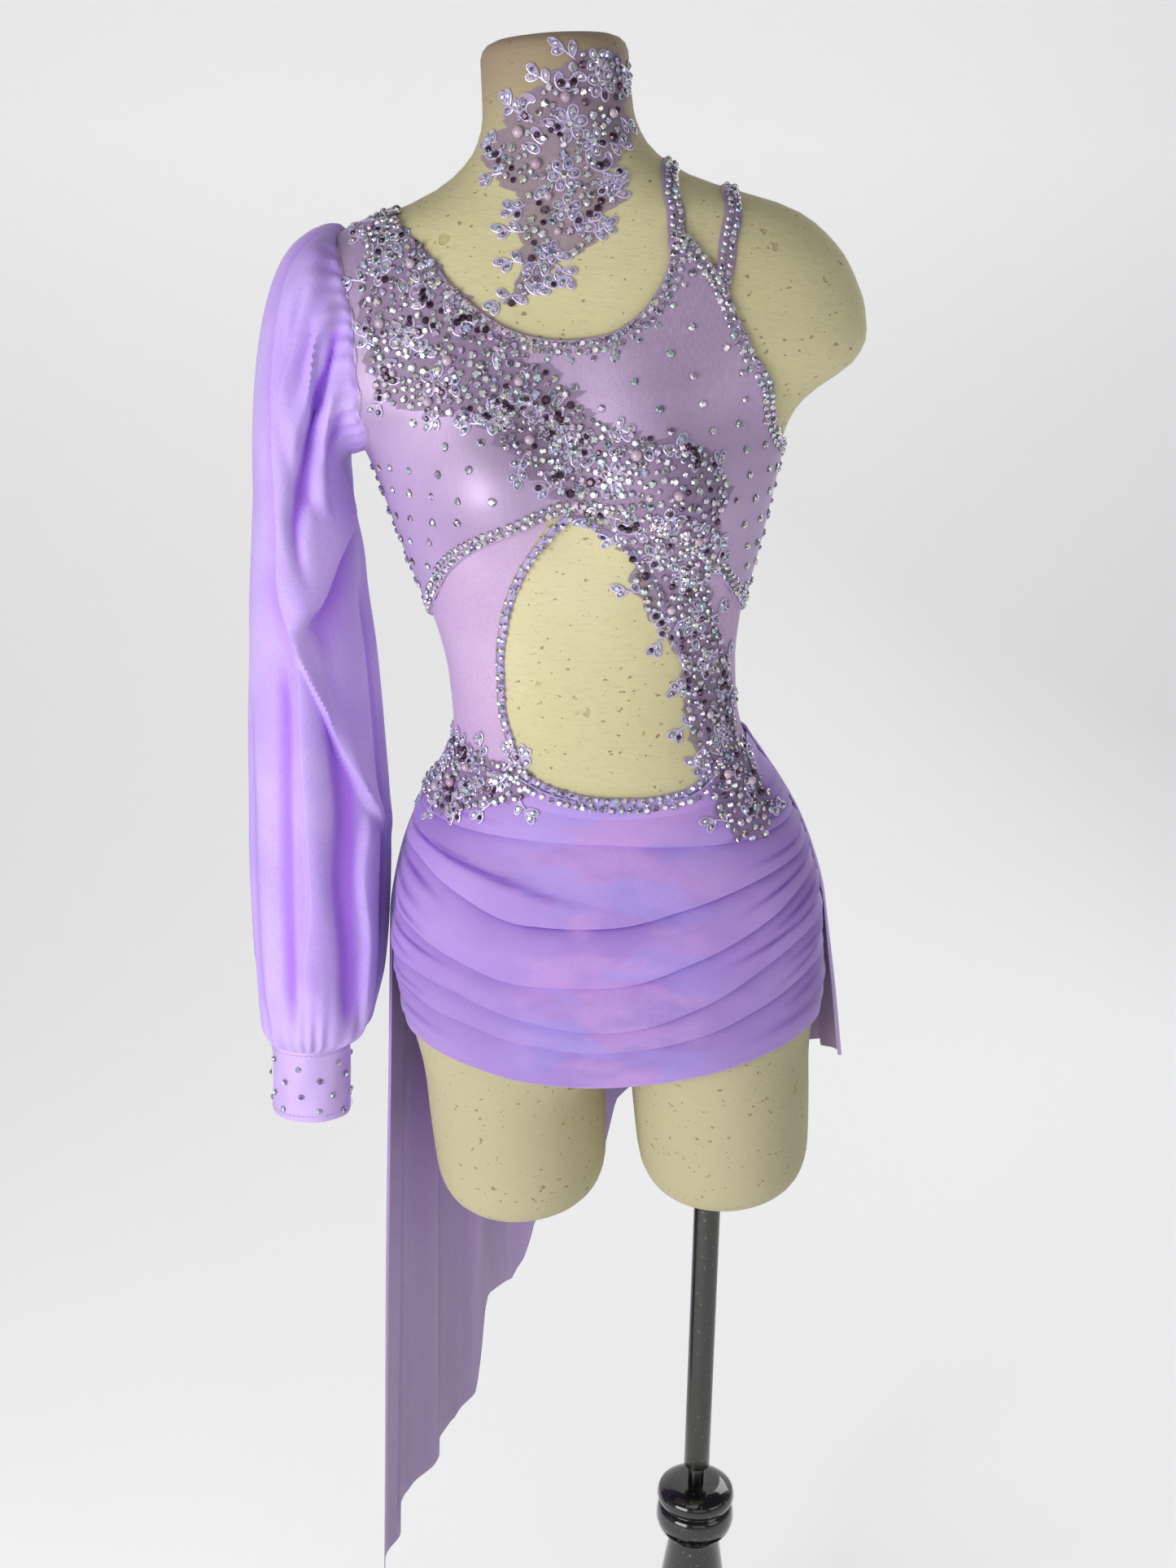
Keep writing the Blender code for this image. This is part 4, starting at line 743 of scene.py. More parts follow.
def makeBodice():
    hem = lineAlong(bodiceLowerEdge, 26)
    armFoot, armTop = rightArmhole["height"][0], rightArmhole["height"][-1]
    top = lineAlong(joinedOutline(rowsOf(upLine(-90, armTop, layers["shoulder"]), 0, 1), neckline), 26)
    armhole = lineAlong(rightArmhole, 13)
    right = np.concatenate([lineAlong(upLine(-90, hem[0, 1], armFoot), 4)[:-1], armhole])
    left = lineAlong(joinedOutline(upLine(90, hem[-1, 1], 1.17), leftArmhole), 16)
    front = laySatin("bodice_front_satin", smoothGrid(hem, top, right, left), "bodice_front", 0.0009, 3)
    bottom = lineAlong(backLowerEdge, 18)
    top = lineAlong(backNeckline, 18)
    behind = armhole * np.array([-1, 1]) + np.array([180, 0])
    shoulder = stacked(270.0, np.linspace(armTop, layers["shoulder"], fine + 1)[1:])
    right = np.concatenate([lineAlong(upLine(270, bottom[-1, 1], armFoot), 4)[:-1], behind, shoulder])
    left = lineAlong(upLine(90, bottom[0, 1], top[0, 1]), 17)
    grid = clearOfSeams(smoothGrid(bottom, top, left, right))
    return front, laySatin("bodice_back_satin", grid, "bodice_back", 0.0008, 7)


def makeSideMeshes():
    hem = lineAlong(bodiceLowerEdge, 26)
    tuck = np.array([0, layers["tuckedUnder"]])

    edge = lineAlong(rightMeshEdge, 9)
    top = np.concatenate([hem[hem[:, 0] < edge[-1, 0]], edge[-1:]]) + tuck
    bottom = spread(lineAlong(rowsOf(hipBandTop, 0, 3), 12), len(top)) - tuck
    edge[0], edge[-1] = bottom[-1], top[-1]
    grid = filledGrid(bottom, top, lineAlong(upLine(-90, bottom[0, 1], top[0, 1]), 9), edge)
    right = laySheer("side_mesh_right", grid, "mesh_side_right", 0.0004, 11)

    edge = lineAlong(leftMeshEdge, 9)
    top = np.concatenate([edge[-1:], hem[hem[:, 0] > edge[-1, 0]]]) + tuck
    bottom = spread(lineAlong(rowsOf(hipBandTop, -3, None), 12), len(top)) - tuck
    edge[0], edge[-1] = bottom[0], top[0]
    grid = filledGrid(bottom, top, edge, lineAlong(upLine(90, bottom[-1, 1], top[-1, 1]), 9))
    left = laySheer("side_mesh_left", grid, "mesh_side_left", 0.0004, 12)

    top, bottom = lineAlong(backLowerEdge, 14) + tuck, lineAlong(backWaist, 14)
    sides = [lineAlong(upLine(angle, bottom[end, 1], top[end, 1]), 7) for angle, end in ((90, 0), (270, -1))]
    grid = clearOfSeams(filledGrid(bottom, top, *sides))
    return right, left, laySheer("back_mesh", grid, "mesh_back", 0.0005, 13)


def makeHipBand():
    bottom = lineAlong(skirtTop, 30) + np.array([0, 0.0006])
    share = np.linspace(0, 1, 9)[:, None, None]
    grid = bottom[None] * (1 - share) + lineAlong(hipBandTop, 30)[None] * share
    roll = 0.0005 * np.sin(math.pi * share[..., 0])
    return layPanel("hip_band_mesh", grid, "satin", skirtMesh, "hip_band", "lilac_mesh", roll)


bodiceFront, bodiceBack = makeBodice()
sideMeshes = makeSideMeshes()
hipBand = makeHipBand()
print("bodice, side meshes and hip band: done")

# the ruched front skirt: rolls of cloth that hang between the side seams

frontSkirt = {
    "columns": 190, "rowsPerRoll": 32, "thickness": 0.0008, "gap": 0.0012, "ease": 0.003, "hangsFrom": 0.93,
    "hangsOver": 0.06, "overhang": 0.0034, "lip": 0.055, "seamShare": 0.36, "seamReach": 0.3, "wrinkle": 0.0007,
    "creaseWidth": 0.0021, "creaseStep": 0.003, "creaseLift": 1.2, "creaseFall": 0.013, "halfTurn": 89.75,
    "bunch": 0.25, "crowding": 0.145, "swell": 1.25, "tuckedUnder": 0.0015,
    "wrinkles": ((0.045, 34, 5.0), (0.11, 90, 9.0)),
}
skirtCreases = columnsOf(  # from the hem up: heights at nine angles, and how far the roll above each stands out
    "a88R a65R a42R a20R a0 a20L a42L a65L a88L depthRight depth depthLeft",
    (0.79, 0.7818, 0.77, 0.758, 0.753, 0.756, 0.764, 0.772, 0.776, 0.005, 0.006, 0.005),
    (0.829, 0.824, 0.813, 0.7965, 0.7884, 0.795, 0.812, 0.829, 0.84, 0.006, 0.0062, 0.004),
    (0.86, 0.852, 0.836, 0.817, 0.806, 0.819, 0.843, 0.862, 0.874, 0.0066, 0.0084, 0.007),
    (0.902, 0.884, 0.863, 0.845, 0.842, 0.856, 0.876, 0.898, 0.909, 0.008, 0.008, 0.0074),
    (0.944, 0.937, 0.913, 0.891, 0.887, 0.8965, 0.9085, 0.918, 0.927, 0.0084, 0.0074, 0.0064),
    (0.969, 0.966, 0.961, 0.956, 0.951, 0.944, 0.94, 0.9415, 0.944, 0.0034, 0.003, 0.004),
)
creaseAngles = np.array([-90, -65, -42, -20, 0, 20, 42, 65, 90], float)
smallCreases = columnsOf(  # creases that run out: from the seam, past a middle point, to their far end, and their depth
    "angleA heightA angleB heightB angleC heightC depth",
    (-89, 0.966, -40, 0.936, 8, 0.8955, 0.0042), (-89, 0.956, -60, 0.948, -30, 0.93, 0.002),
    (-89, 0.979, -60, 0.9745, -20, 0.966, 0.0018), (-89, 0.974, -66, 0.97, -40, 0.966, 0.0014),
    (-89, 0.935, -66, 0.923, -42, 0.898, 0.0024), (-89, 0.924, -70, 0.91, -50, 0.89, 0.002),
    (-89, 0.913, -72, 0.898, -48, 0.874, 0.0024), (-89, 0.89, -68, 0.874, -36, 0.85, 0.0026),
    (-89, 0.879, -72, 0.866, -52, 0.85, 0.0018), (-89, 0.87, -66, 0.85, -30, 0.83, 0.0028),
    (-89, 0.848, -70, 0.839, -46, 0.824, 0.002), (-89, 0.838, -66, 0.829, -38, 0.806, 0.0022),
    (-89, 0.818, -68, 0.81, -40, 0.793, 0.002), (-89, 0.805, -70, 0.798, -50, 0.785, 0.0014),
    (89, 0.952, 60, 0.95, 24, 0.935, 0.0024), (89, 0.964, 64, 0.96, 40, 0.956, 0.0016),
    (89, 0.974, 66, 0.969, 46, 0.966, 0.0014), (89, 0.935, 66, 0.927, 34, 0.918, 0.002),
    (89, 0.918, 66, 0.908, 30, 0.883, 0.003), (89, 0.899, 66, 0.886, 36, 0.86, 0.0024),
    (89, 0.89, 66, 0.876, 22, 0.843, 0.0034), (89, 0.864, 68, 0.851, 44, 0.833, 0.0022),
    (89, 0.856, 70, 0.844, 40, 0.818, 0.0024), (89, 0.828, 68, 0.818, 42, 0.799, 0.0022),
    (89, 0.81, 68, 0.801, 30, 0.78, 0.0026), (89, 0.796, 70, 0.789, 50, 0.778, 0.0014),
)


def makeFrontSkirt():
    columns, rolls = frontSkirt["columns"], len(skirtCreases["depth"])
    share = np.linspace(-1, 1, columns)
    share = frontSkirt["bunch"] * np.sin(share * math.pi / 2) + (1 - frontSkirt["bunch"]) * share
    angle = frontSkirt["halfTurn"] * share
    creases = list(skirtCreases.values())
    lines = [steady(creaseAngles, np.array([crease[k] for crease in creases[:9]]), angle) for k in range(rolls)]
    lines.append(steady(skirtTop["angle"], skirtTop["height"], angle) + frontSkirt["tuckedUnder"])
    seam = frontSkirt["seamShare"] + (1 - frontSkirt["seamShare"]) * ease((1 - np.abs(share)) / frontSkirt["seamReach"])
    heights, outs, deep = [], [], []
    phases = np.linspace(0, 1, frontSkirt["rowsPerRoll"], endpoint=False)
    phases = phases + frontSkirt["crowding"] * np.sin(-2 * math.pi * phases)  # more rows beside each crease
    for k in range(rolls):
        depth = steady(np.array([-1.0, 0, 1.0]), np.array([crease[k] for crease in creases[9:]]), share)
        hasBelow, hasAbove = k > 0, k < rolls - 1
        for p in phases:
            lip = float(ease(p / frontSkirt["lip"]))
            swell = lip * ((1 - p) ** 1.1 * 0.8 + 0.2 * math.sin(math.pi * p))
            sag = frontSkirt["overhang"] * lip * (1 - p) ** 9 * hasBelow
            heights.append(lines[k] * (1 - p) + lines[k + 1] * p - sag * seam)
            outs.append(frontSkirt["swell"] * depth * swell * seam)
            # painted shade: dark along each crease line and under the roll that hangs over it
            under = (math.exp(-(1 - p) / 0.045) + 0.42 * math.exp(-(1 - p) / 0.22)) * hasAbove
            above = skirtCreases["depth"][min(k + 1, rolls - 1)]
            deep.append(0.8 * math.exp(-p / 0.012) * hasBelow + under * (0.45 + 0.55 * seam) * min(above / 0.006, 1))
    heights.append(lines[-1])
    height, out, foldShade = np.array(heights), np.array([*outs, 0 * angle]), np.array([*deep, 0 * angle])
    angles = np.broadcast_to(angle, height.shape)
    rowGap = np.abs(np.gradient(height, axis=0))  # a small crease is never narrower than its rows allow
    width = np.maximum(frontSkirt["creaseWidth"], 1.25 * rowGap)
    step = np.maximum(frontSkirt["creaseStep"], 1.6 * rowGap)
    for a, ha, b, hb, c, hc, depth in zip(*smallCreases.values()):
        along = (angles - a) / (c - a)
        away = height - steady(np.array([0.0, (b - a) / (c - a), 1.0]), np.array([ha, hb, hc]), along)
        fade = ease((along + 0.02) / 0.05) * (1 - ease((along - 0.45) / 0.55)) * (along > -0.02)
        strength = frontSkirt["creaseLift"] * depth * fade
        out = out + strength * ease(away / step + 0.5) * np.exp(-np.clip(away, 0, 1) / frontSkirt["creaseFall"])
        # painted shade along each small crease
        foldShade = foldShade + np.clip(strength / 0.0026, 0, 1) * np.exp(-(((away + 0.001) / width) ** 2))
    flatten = 0.4 + 0.6 * ease((height - lines[0] + 0.001) / 0.02)
    wide, small = (
        np.array([noise.noise(Vector((a * across, h * down, seed))) for a, h in zip(angles.flat, height.flat)])
        for across, down, seed in frontSkirt["wrinkles"]
    )
    wrinkle = (wide + 0.5 * small).reshape(height.shape)
    out = np.maximum(out * flatten + frontSkirt["wrinkle"] * wrinkle, 0)
    slack = frontSkirt["ease"] * (0.35 + 0.65 * ease((1 - np.abs(share)) / 0.2))
    out = out + frontSkirt["gap"] + slack * ease((frontSkirt["hangsFrom"] - height) / frontSkirt["hangsOver"])
    inner, outer = (offForm(angles, height, out + side) for side in (0, frontSkirt["thickness"]))
    made = clothShell("front_skirt_ruched", inner, outer, skirtMesh, foldShade=np.clip(foldShade, 0, 1))
    return dressed(made, "lilac_mesh", "skirt_front")


# the long back skirt, open at the front, in upright folds

train = {
    "columns": 260, "hipRows": 16, "hungRows": 64, "hangsFrom": 0.86, "offSides": 0.0092, "offBack": 0.015,
    "folds": 9.5, "depth": 0.011, "atHip": 0.45, "atSides": 0.2, "fullAt": 0.67, "calm": 25, "thickness": 0.0007,
    "gap": 0.003, "wrap": 6.5, "waistOver": 0.002, "gather": 0.0011, "gathers": 46, "small": 0.1, "smallFolds": 165,
    "smoothed": 12, "levelled": 20, "slopeFrom": 0.12, "slopeReach": 0.9, "deepest": 0.45,
}
trainHem = columnsOf(
    "angle height flare",
    (90.4, 0.746, 0.13), (95, 0.739, 0.15), (101, 0.735, 0.14), (112, 0.722, 0.1), (135, 0.69, 0.06),
    (160, 0.645, 0.05), (173, 0.631, 0.05), (176.5, 0.619, 0.05), (179, 0.577, 0.05), (182, 0.541, 0.05),
    (187, 0.513, 0.05), (198, 0.5, 0.04), (201, 0.456, 0.04), (204, 0.428, 0.04), (212.5, 0.424, 0.03),
    (214.5, 0.41, 0.03), (217.5, 0.326, 0.03), (223, 0.292, 0.02), (236, 0.276, 0.02), (243, 0.242, 0.02),
    (256, 0.23, 0.02), (269.6, 0.219, 0.025),
)


def widened(values, reach, axis, mode="edge"):  # a moving average over reach places to each side
    pads = [(reach, reach) if k == axis else (0, 0) for k in range(values.ndim)]
    padded = np.pad(values, pads, mode=mode)
    count = 2 * reach + 1
    return np.apply_along_axis(lambda line: np.convolve(line, np.ones(count) / count, mode="valid"), axis, padded)


def makeBackSkirt():
    angle = np.linspace(trainHem["angle"][0], trainHem["angle"][-1], train["columns"])
    hem, flare = (np.interp(angle, trainHem["angle"], trainHem[key]) for key in ("height", "flare"))
    clear = ease((90 - np.abs(angle - 180)) / train["calm"])
    run = np.linspace(0, 1, train["columns"])

    def wave(down):  # the folds drift sideways and sharpen on their way down
        phase = run * train["folds"] * 2 * math.pi + 0.5 * np.sin(run * 9 + down * 1.3) * (0.3 + down)
        curl = np.sin(phase) + 0.28 * np.sin(2 * phase + 0.8) + 0.22 * np.sin(run * 41 + 2.2 * down)
        small = train["small"] * np.sin(run * train["smallFolds"] + 1.7 * np.sin(run * 13)) * (1 - down)
        return (curl * 0.82 + small) * train["depth"] * (train["atSides"] + (1 - train["atSides"]) * clear)

    standsOff = train["offSides"] + (train["offBack"] - train["offSides"]) * clear
    share = np.linspace(0, 1, train["hipRows"])[:, None]
    top = steady(backWaist["angle"], backWaist["height"], angle) + train["waistOver"]
    height = top * (1 - share) + train["hangsFrom"] * share
    turns = run * 2 * math.pi * train["gathers"] + 2 * np.sin(run * 19)
    gathers = train["gather"] * np.sin(turns) * np.exp(-share / 0.25)
    base = train["atHip"] * wave(0.0)
    out = train["gap"] + gathers + (standsOff - train["gap"] + base) * ease(share)
    toEdge = np.sign(angle - 180) * ease((np.abs(angle - 180) - 66) / 24) * train["wrap"]
    angles = angle + toEdge * ease((share - 0.15) / 0.85)
    sides = []
    for side in (0, train["thickness"]):
        rows = list(offForm(angles, height, out + side))
        hung = rows[-1]
        along = widened(np.gradient(hung[:, :2], axis=0), train["smoothed"], 0)
        away = unit(stacked(along[:, 1], -along[:, 0]))
        for down in np.linspace(0, 1, train["hungRows"] + 1)[1:]:
            level = hung[:, 2] * (1 - down) + hem * down
            deeper = wave(down) * (train["atHip"] + (1 - train["atHip"]) * ease(down / train["fullAt"])) - base
            push = flare * (hung[:, 2] - level) + deeper
            rows.append(np.column_stack([hung[:, :2] + away * push[:, None], level]))
        sides.append(np.array(rows))
    # a fold's sloping sides show more thread to the eye and are painted deeper in colour: partly that thicker look,
    # partly painted shade on the fold's sides
    drawn = unit(np.gradient(sides[1][:, :, :2], axis=1))
    level = unit(widened(drawn, train["levelled"], 1))
    slope = np.abs(drawn[..., 0] * level[..., 1] - drawn[..., 1] * level[..., 0])
    foldShade = np.clip((slope - train["slopeFrom"]) / train["slopeReach"], 0, train["deepest"])
    return dressed(clothShell("back_skirt_train", *sides, trainMesh, foldShade=foldShade), "lilac_mesh", "skirt_back")


frontSkirtCloth = makeFrontSkirt()
backSkirtCloth = makeBackSkirt()
print("skirts: done")

# the sleeve, gathered into the armhole and the cuff

sleeveSections = columnsOf(
    "height centreX halfWidth halfDepth",
    (1.195, -0.324, 0.0355, 0.07), (1.127, -0.3245, 0.0405, 0.07), (1.07, -0.3225, 0.0455, 0.069),
    (1.012, -0.322, 0.0495, 0.068), (0.952, -0.321, 0.052, 0.067), (0.905, -0.3215, 0.053, 0.066),
    (0.848, -0.3225, 0.0515, 0.064), (0.806, -0.324, 0.049, 0.06), (0.788, -0.3253, 0.0465, 0.055),
    (0.769, -0.3269, 0.0425, 0.047), (0.755, -0.3285, 0.0365, 0.035), (0.745, -0.331, 0.0318, 0.0262),
)
sleeve = {
    "around": 310, "headRows": 38, "hungRows": 110, "frontShare": 0.32, "middleY": -0.004, "thickness": 0.0007,
    "offForm": 0.0032, "inset": 0.0006, "spill": 0.15, "spillTop": 0.3, "reach": 0.02, "headShare": 0.17,
    "hangShare": 0.52, "middle": (-90.0, 1.318), "headGathers": 38, "headDepth": 0.0019, "headFade": 0.013,
    "cuffGathers": 24, "cuffDepth": 0.0032, "cuffFade": 0.024, "puff": 0.0035, "foldScale": 1.12, "foldFade": 0.045,
    "armholeSteps": 181, "headCrowding": 1.25, "levelled": 22, "sunk": 0.006, "deep": 0.009,
}
# each fold: how far it stands out (or, below 0, sinks in), how many degrees it takes to fall away towards the outside
# and towards the body, and its way down the sleeve as distance from the seam and turn (90 is the front)
sleeveFolds = (
    (0.0068, 3.4, 25, ((0.01, 28), (0.03, 36), (0.05, 44), (0.07, 55), (0.09, 67), (0.11, 77), (0.141, 82),
     (0.174, 83), (0.195, 84), (0.212, 88), (0.224, 96), (0.24, 111), (0.258, 128), (0.277, 146), (0.303, 176))),
    (0.0042, 13, 4.2, ((0.004, 30), (0.018, 40), (0.033, 51), (0.05, 59), (0.061, 68))),
    (0.0048, 4.6, 12, ((0.012, 44), (0.027, 54), (0.038, 63), (0.05, 70), (0.06, 75), (0.076, 77), (0.088, 79))),
    (0.0056, 9, 6, ((0.006, 66), (0.021, 73), (0.031, 78), (0.038, 91), (0.048, 98), (0.065, 96), (0.092, 92))),
    (-0.0088, 7, 6, ((0.004, 74), (0.016, 87), (0.024, 101), (0.039, 109), (0.05, 115), (0.073, 112), (0.105, 100),
     (0.13, 95), (0.152, 97))),
    (0.0052, 5, 11, ((0.006, 104), (0.016, 109), (0.025, 113), (0.031, 119), (0.048, 121), (0.078, 116))),
    (-0.003, 5, 5, ((0.002, 120), (0.03, 133), (0.07, 130))),
    (0.008, 27, 4.6, ((0.03, 172), (0.048, 163), (0.086, 140), (0.12, 125), (0.147, 115), (0.176, 100), (0.204, 88))),
    (-0.0052, 3.0, 16, ((0.034, 178), (0.052, 170), (0.09, 147), (0.124, 132), (0.151, 122), (0.18, 108),
     (0.204, 97))),
    (0.0056, 2.6, 15, ((0.214, 90), (0.23, 93), (0.3, 92), (0.368, 93), (0.412, 95), (0.47, 90), (0.51, 88))),
    (-0.0074, 10, 13, ((0.232, 119), (0.262, 124), (0.304, 126), (0.376, 121), (0.437, 129), (0.48, 130))),
    (0.0052, 2.8, 19, ((0.282, 153), (0.296, 146), (0.353, 138), (0.397, 144), (0.436, 146), (0.477, 158))),
    (-0.0034, 8, 5, ((0.25, 80), (0.301, 79), (0.371, 76), (0.436, 76), (0.509, 76), (0.55, 76))),
    (0.0026, 10, 10, ((0.38, 55), (0.433, 54), (0.494, 54), (0.552, 53), (0.586, 57))),
    (-0.0024, 9, 9, ((0.33, 30), (0.45, 33), (0.6, 36))),
    (-0.004, 9, 7, ((0.02, 6), (0.1, 4), (0.22, 8), (0.4, 10), (0.6, 12))),
    (0.0034, 12, 10, ((0.016, 340), (0.12, 344), (0.3, 348), (0.6, 350))),
    (-0.006, 9, 8, ((0.01, 318), (0.07, 322), (0.18, 318), (0.33, 322), (0.6, 326))),
    (0.0048, 4, 18, ((0.006, 296), (0.05, 292), (0.12, 298), (0.26, 296), (0.42, 300), (0.6, 302))),
    (-0.0066, 8, 9, ((0.006, 270), (0.04, 276), (0.12, 270), (0.3, 272), (0.45, 268), (0.6, 272))),
    (0.005, 16, 4, ((0.004, 250), (0.03, 256), (0.09, 246), (0.2, 240), (0.34, 246), (0.48, 250))),
    (-0.0052, 7, 10, ((0.006, 236), (0.024, 226), (0.07, 218), (0.16, 220), (0.33, 214), (0.56, 218))),
    (0.004, 9, 9, ((0.06, 200), (0.16, 196), (0.3, 192), (0.56, 196))),
    (-0.0034, 9, 9, ((0.1, 178), (0.22, 176), (0.36, 172), (0.54, 178))),
)


def foldRelief(turn, down):  # how far the folds lift the cloth, at a turn in degrees and a distance down the sleeve
    total = np.zeros(np.broadcast(turn, down).shape)
    for rise, before, after, line in sleeveFolds:
        path = np.array(line, float)
        start, end = path[0, 0], path[-1, 0]
        apart = (turn - steady(path[:, 0], path[:, 1], down) + 180) % 360 - 180
        reach = min(0.35 * (end - start), sleeve["foldFade"])
        fade = ease((down - start + 0.3 * reach) / reach) * ease((end - down + 0.3 * reach) / reach)
        total += rise * fade * np.exp(-np.abs(apart / np.where(apart < 0, before, after)) ** 2)
    return total * sleeve["foldScale"]


def armholeLoop(turn):
    distance, placesAt = pacedOut(rightArmhole)
    ahead = placesAt(np.linspace(0, distance[-1], sleeve["armholeSteps"]))
    behind = ahead * np.array([-1, 1]) - np.array([180, 0])
    loop = np.concatenate([ahead[::-1], behind[1:]])
    return [np.interp(turn, np.linspace(0, 2 * math.pi, len(loop)), loop[:, k]) for k in (0, 1)]


def makeSleeve():
    turn = turnsOf(sleeve["around"])
    turn = (turn + sleeve["frontShare"] * (np.cos(turn) - 1)) % (2 * math.pi)  # more columns at the front
    degrees = np.degrees(turn)
    armhole = armholeLoop(turn)
    middle = bareForm(*sleeve["middle"])
    levels, tall = sleeveSections["height"], -sleeveSections["height"]
    top, bottom = levels[0], levels[-1]
    widths = [sleeveSections[key] for key in ("halfWidth", "halfDepth", "centreX")]
    puckers = 1 + np.sin(turn * sleeve["headGathers"] + 1.6 * np.sin(turn * 5)) * (0.7 + 0.3 * np.sin(turn * 9 + 1))
    gathers = np.sin(turn * sleeve["cuffGathers"] + 1.8 * np.sin(turn * 4)) * (0.65 + 0.35 * np.sin(turn * 7 + 2))

    def oval(centreX, halfWidth, halfDepth, height):
        return stacked(centreX - halfWidth * np.cos(turn), sleeve["middleY"] - halfDepth * np.sin(turn), height)

    sides = []
    for side in (0, sleeve["thickness"]):
        start = bareForm(*armhole) + facingOut(*armhole) * sleeve["offForm"]
        start = leanOver(start + unit(middle - start) * (sleeve["inset"] - side))
        radial = unit((start - leanOver(middle)) * np.array([0, 1, 1]))
        spill = sleeve["spill"] + sleeve["spillTop"] * np.clip(radial[:, 2:], -0.5, 1)
        away = unit(np.array([-1.0, 0, 0]) + spill * radial)
        below = oval(widths[2][0], widths[0][0] + side, widths[1][0] + side, top)
        reach = np.linalg.norm(below - start, axis=1)
        handleA = start + away * (sleeve["reach"] + sleeve["headShare"] * reach)[:, None]
        handleB = below + np.array([0, 0, sleeve["hangShare"]]) * reach[:, None]
        rows, deep = [], []
        for t in np.linspace(0, 1, sleeve["headRows"], endpoint=False) ** sleeve["headCrowding"]:
            u = 1 - t
            drawn = start * u**3 + below * t**3 + 3 * t * u**2 * handleA + 3 * t * t * u * handleB
            tangent = 3 * u**2 * (handleA - start) + 6 * t * u * (handleB - handleA) + 3 * t * t * (below - handleB)
            facing = unit(np.cross(tangent, np.roll(drawn, -1, axis=0) - np.roll(drawn, 1, axis=0)))
            down = t * reach
            relief = foldRelief(degrees, down) * ease(down / 0.022)
            ripple = sleeve["headDepth"] * puckers * np.exp(-down / sleeve["headFade"]) * ease(down / 0.004)
            rows.append(drawn + facing * (relief + ripple)[:, None])
            deep.append(relief + 0.6 * ripple)
        for height in top + (bottom - top) * np.linspace(0, 1, sleeve["hungRows"]):
            halfWidth, halfDepth, centreX = (float(steady(tall, values, -height)) for values in widths)
            rise = height - bottom
            relief = foldRelief(degrees, reach + (top - height)) * (1 - 0.9 * math.exp(-rise / 0.02))
            relief += sleeve["puff"] * math.exp(-(((rise - 0.012) / 0.01) ** 2)) * ease(rise / 0.006)
            ripple = sleeve["cuffDepth"] * gathers * math.exp(-rise / sleeve["cuffFade"]) * float(ease(rise / 0.003))
            facing = unit(stacked(-halfDepth * np.cos(turn), -halfWidth * np.sin(turn), 0))
            rows.append(oval(centreX, halfWidth, halfDepth, height) + facing * (side + relief + ripple)[:, None])
            deep.append(relief + ripple)
        sides.append(np.array(rows))
    deep = np.array(deep)
    # painted shade in the fold valleys, standing also for the deeper colour where the sheer cloth lies doubled
    average = widened(deep, sleeve["levelled"], 1, "wrap")
    foldShade = np.clip((average - deep) / sleeve["sunk"], 0, 1) * 0.8 + np.clip(-deep / sleeve["deep"], 0, 0.5)
    made = clothShell("sleeve_mesh", *sides, sleeveMesh, True, np.clip(foldShade, 0, 1))
    return dressed(made, "lilac_mesh", "sleeve")


cuff = {
    "top": 0.747, "foot": 0.6825, "middleX": -0.332, "halfWidth": 0.0305, "halfDepth": 0.0245, "thickness": 0.0014,
    "steps": 96, "rows": 25,
}


def cuffPoint(turn, height, out):
    width, depth = cuff["halfWidth"] + out, cuff["halfDepth"] + out
    return stacked(cuff["middleX"] - width * np.cos(turn), sleeve["middleY"] - depth * np.sin(turn), height)


def cuffFacing(turn):
    return unit(stacked(-np.cos(turn) * cuff["halfDepth"], -np.sin(turn) * cuff["halfWidth"], 0))


def makeCuff():
    turn, height = turnsOf(cuff["steps"]), np.linspace(cuff["top"], cuff["foot"], cuff["rows"])[:, None]
    edge = np.minimum(cuff["top"] - height, height - cuff["foot"])
    fold = 0.0004 * np.exp(-(((edge - 0.006) / 0.0022) ** 2))  # the turned hem shows as a faint ridge
    soft = 0.0004 * np.sin(turn * 3 + height * 40) + 0.0003 * np.sin(turn * 7 - height * 90)
    sides = [cuffPoint(turn, height, side + fold + soft) for side in (0, cuff["thickness"])]
    return dressed(clothShell("cuff_satin", *sides, cuffSatin, True), "mauve_satin", "cuff")


sleeveCloth = makeSleeve()
cuffCloth = makeCuff()
print("sleeve and cuff: done")

# bindings and straps

trims = {
    "bindingWidth": 0.0058, "bindingRise": 0.0016, "strapWidth": 0.013, "strapRise": 0.0017, "across": 9,
    "roll": 0.0011, "fineRoll": 0.0008, "seamRoll": 0.0019, "rollFlat": 0.7, "bindingStep": 0.0045, "strapStep": 0.004,
    "rollStep": 0.003, "lift": 0.0003,
}
innerStrap = outlineOf(
    (22.5, 1.368), (23.6, 1.377), (30.6, 1.3985), (45, 1.412), (66, 1.4225), (90, 1.4265), (114, 1.4225),
    (135, 1.411), (150, 1.39), (157, 1.362), (160, 1.335), (160.5, 1.318), (160.5, 1.3),
)
outerStrap = outlineOf(
    (27.6, 1.338), (29.2, 1.347), (36.3, 1.375), (53.6, 1.399), (72, 1.4055), (90, 1.4072), (108, 1.4055),
    (126, 1.399), (143, 1.376), (149, 1.346), (151.5, 1.318), (152, 1.296), (152, 1.284),
)


def runOf(places, closed):
    ahead = np.roll(places, -1, axis=0) - np.roll(places, 1, axis=0) if closed else np.gradient(places, axis=0)
    return unit(ahead)


def formFrame(pairs, closed=False):  # world points of a line on the form, with the ways out, along and sideways
    places, facing = onForm(*pairs.T), outward(*pairs.T)
    along = runOf(places, closed)
    return places, facing, along, unit(np.cross(along, facing))


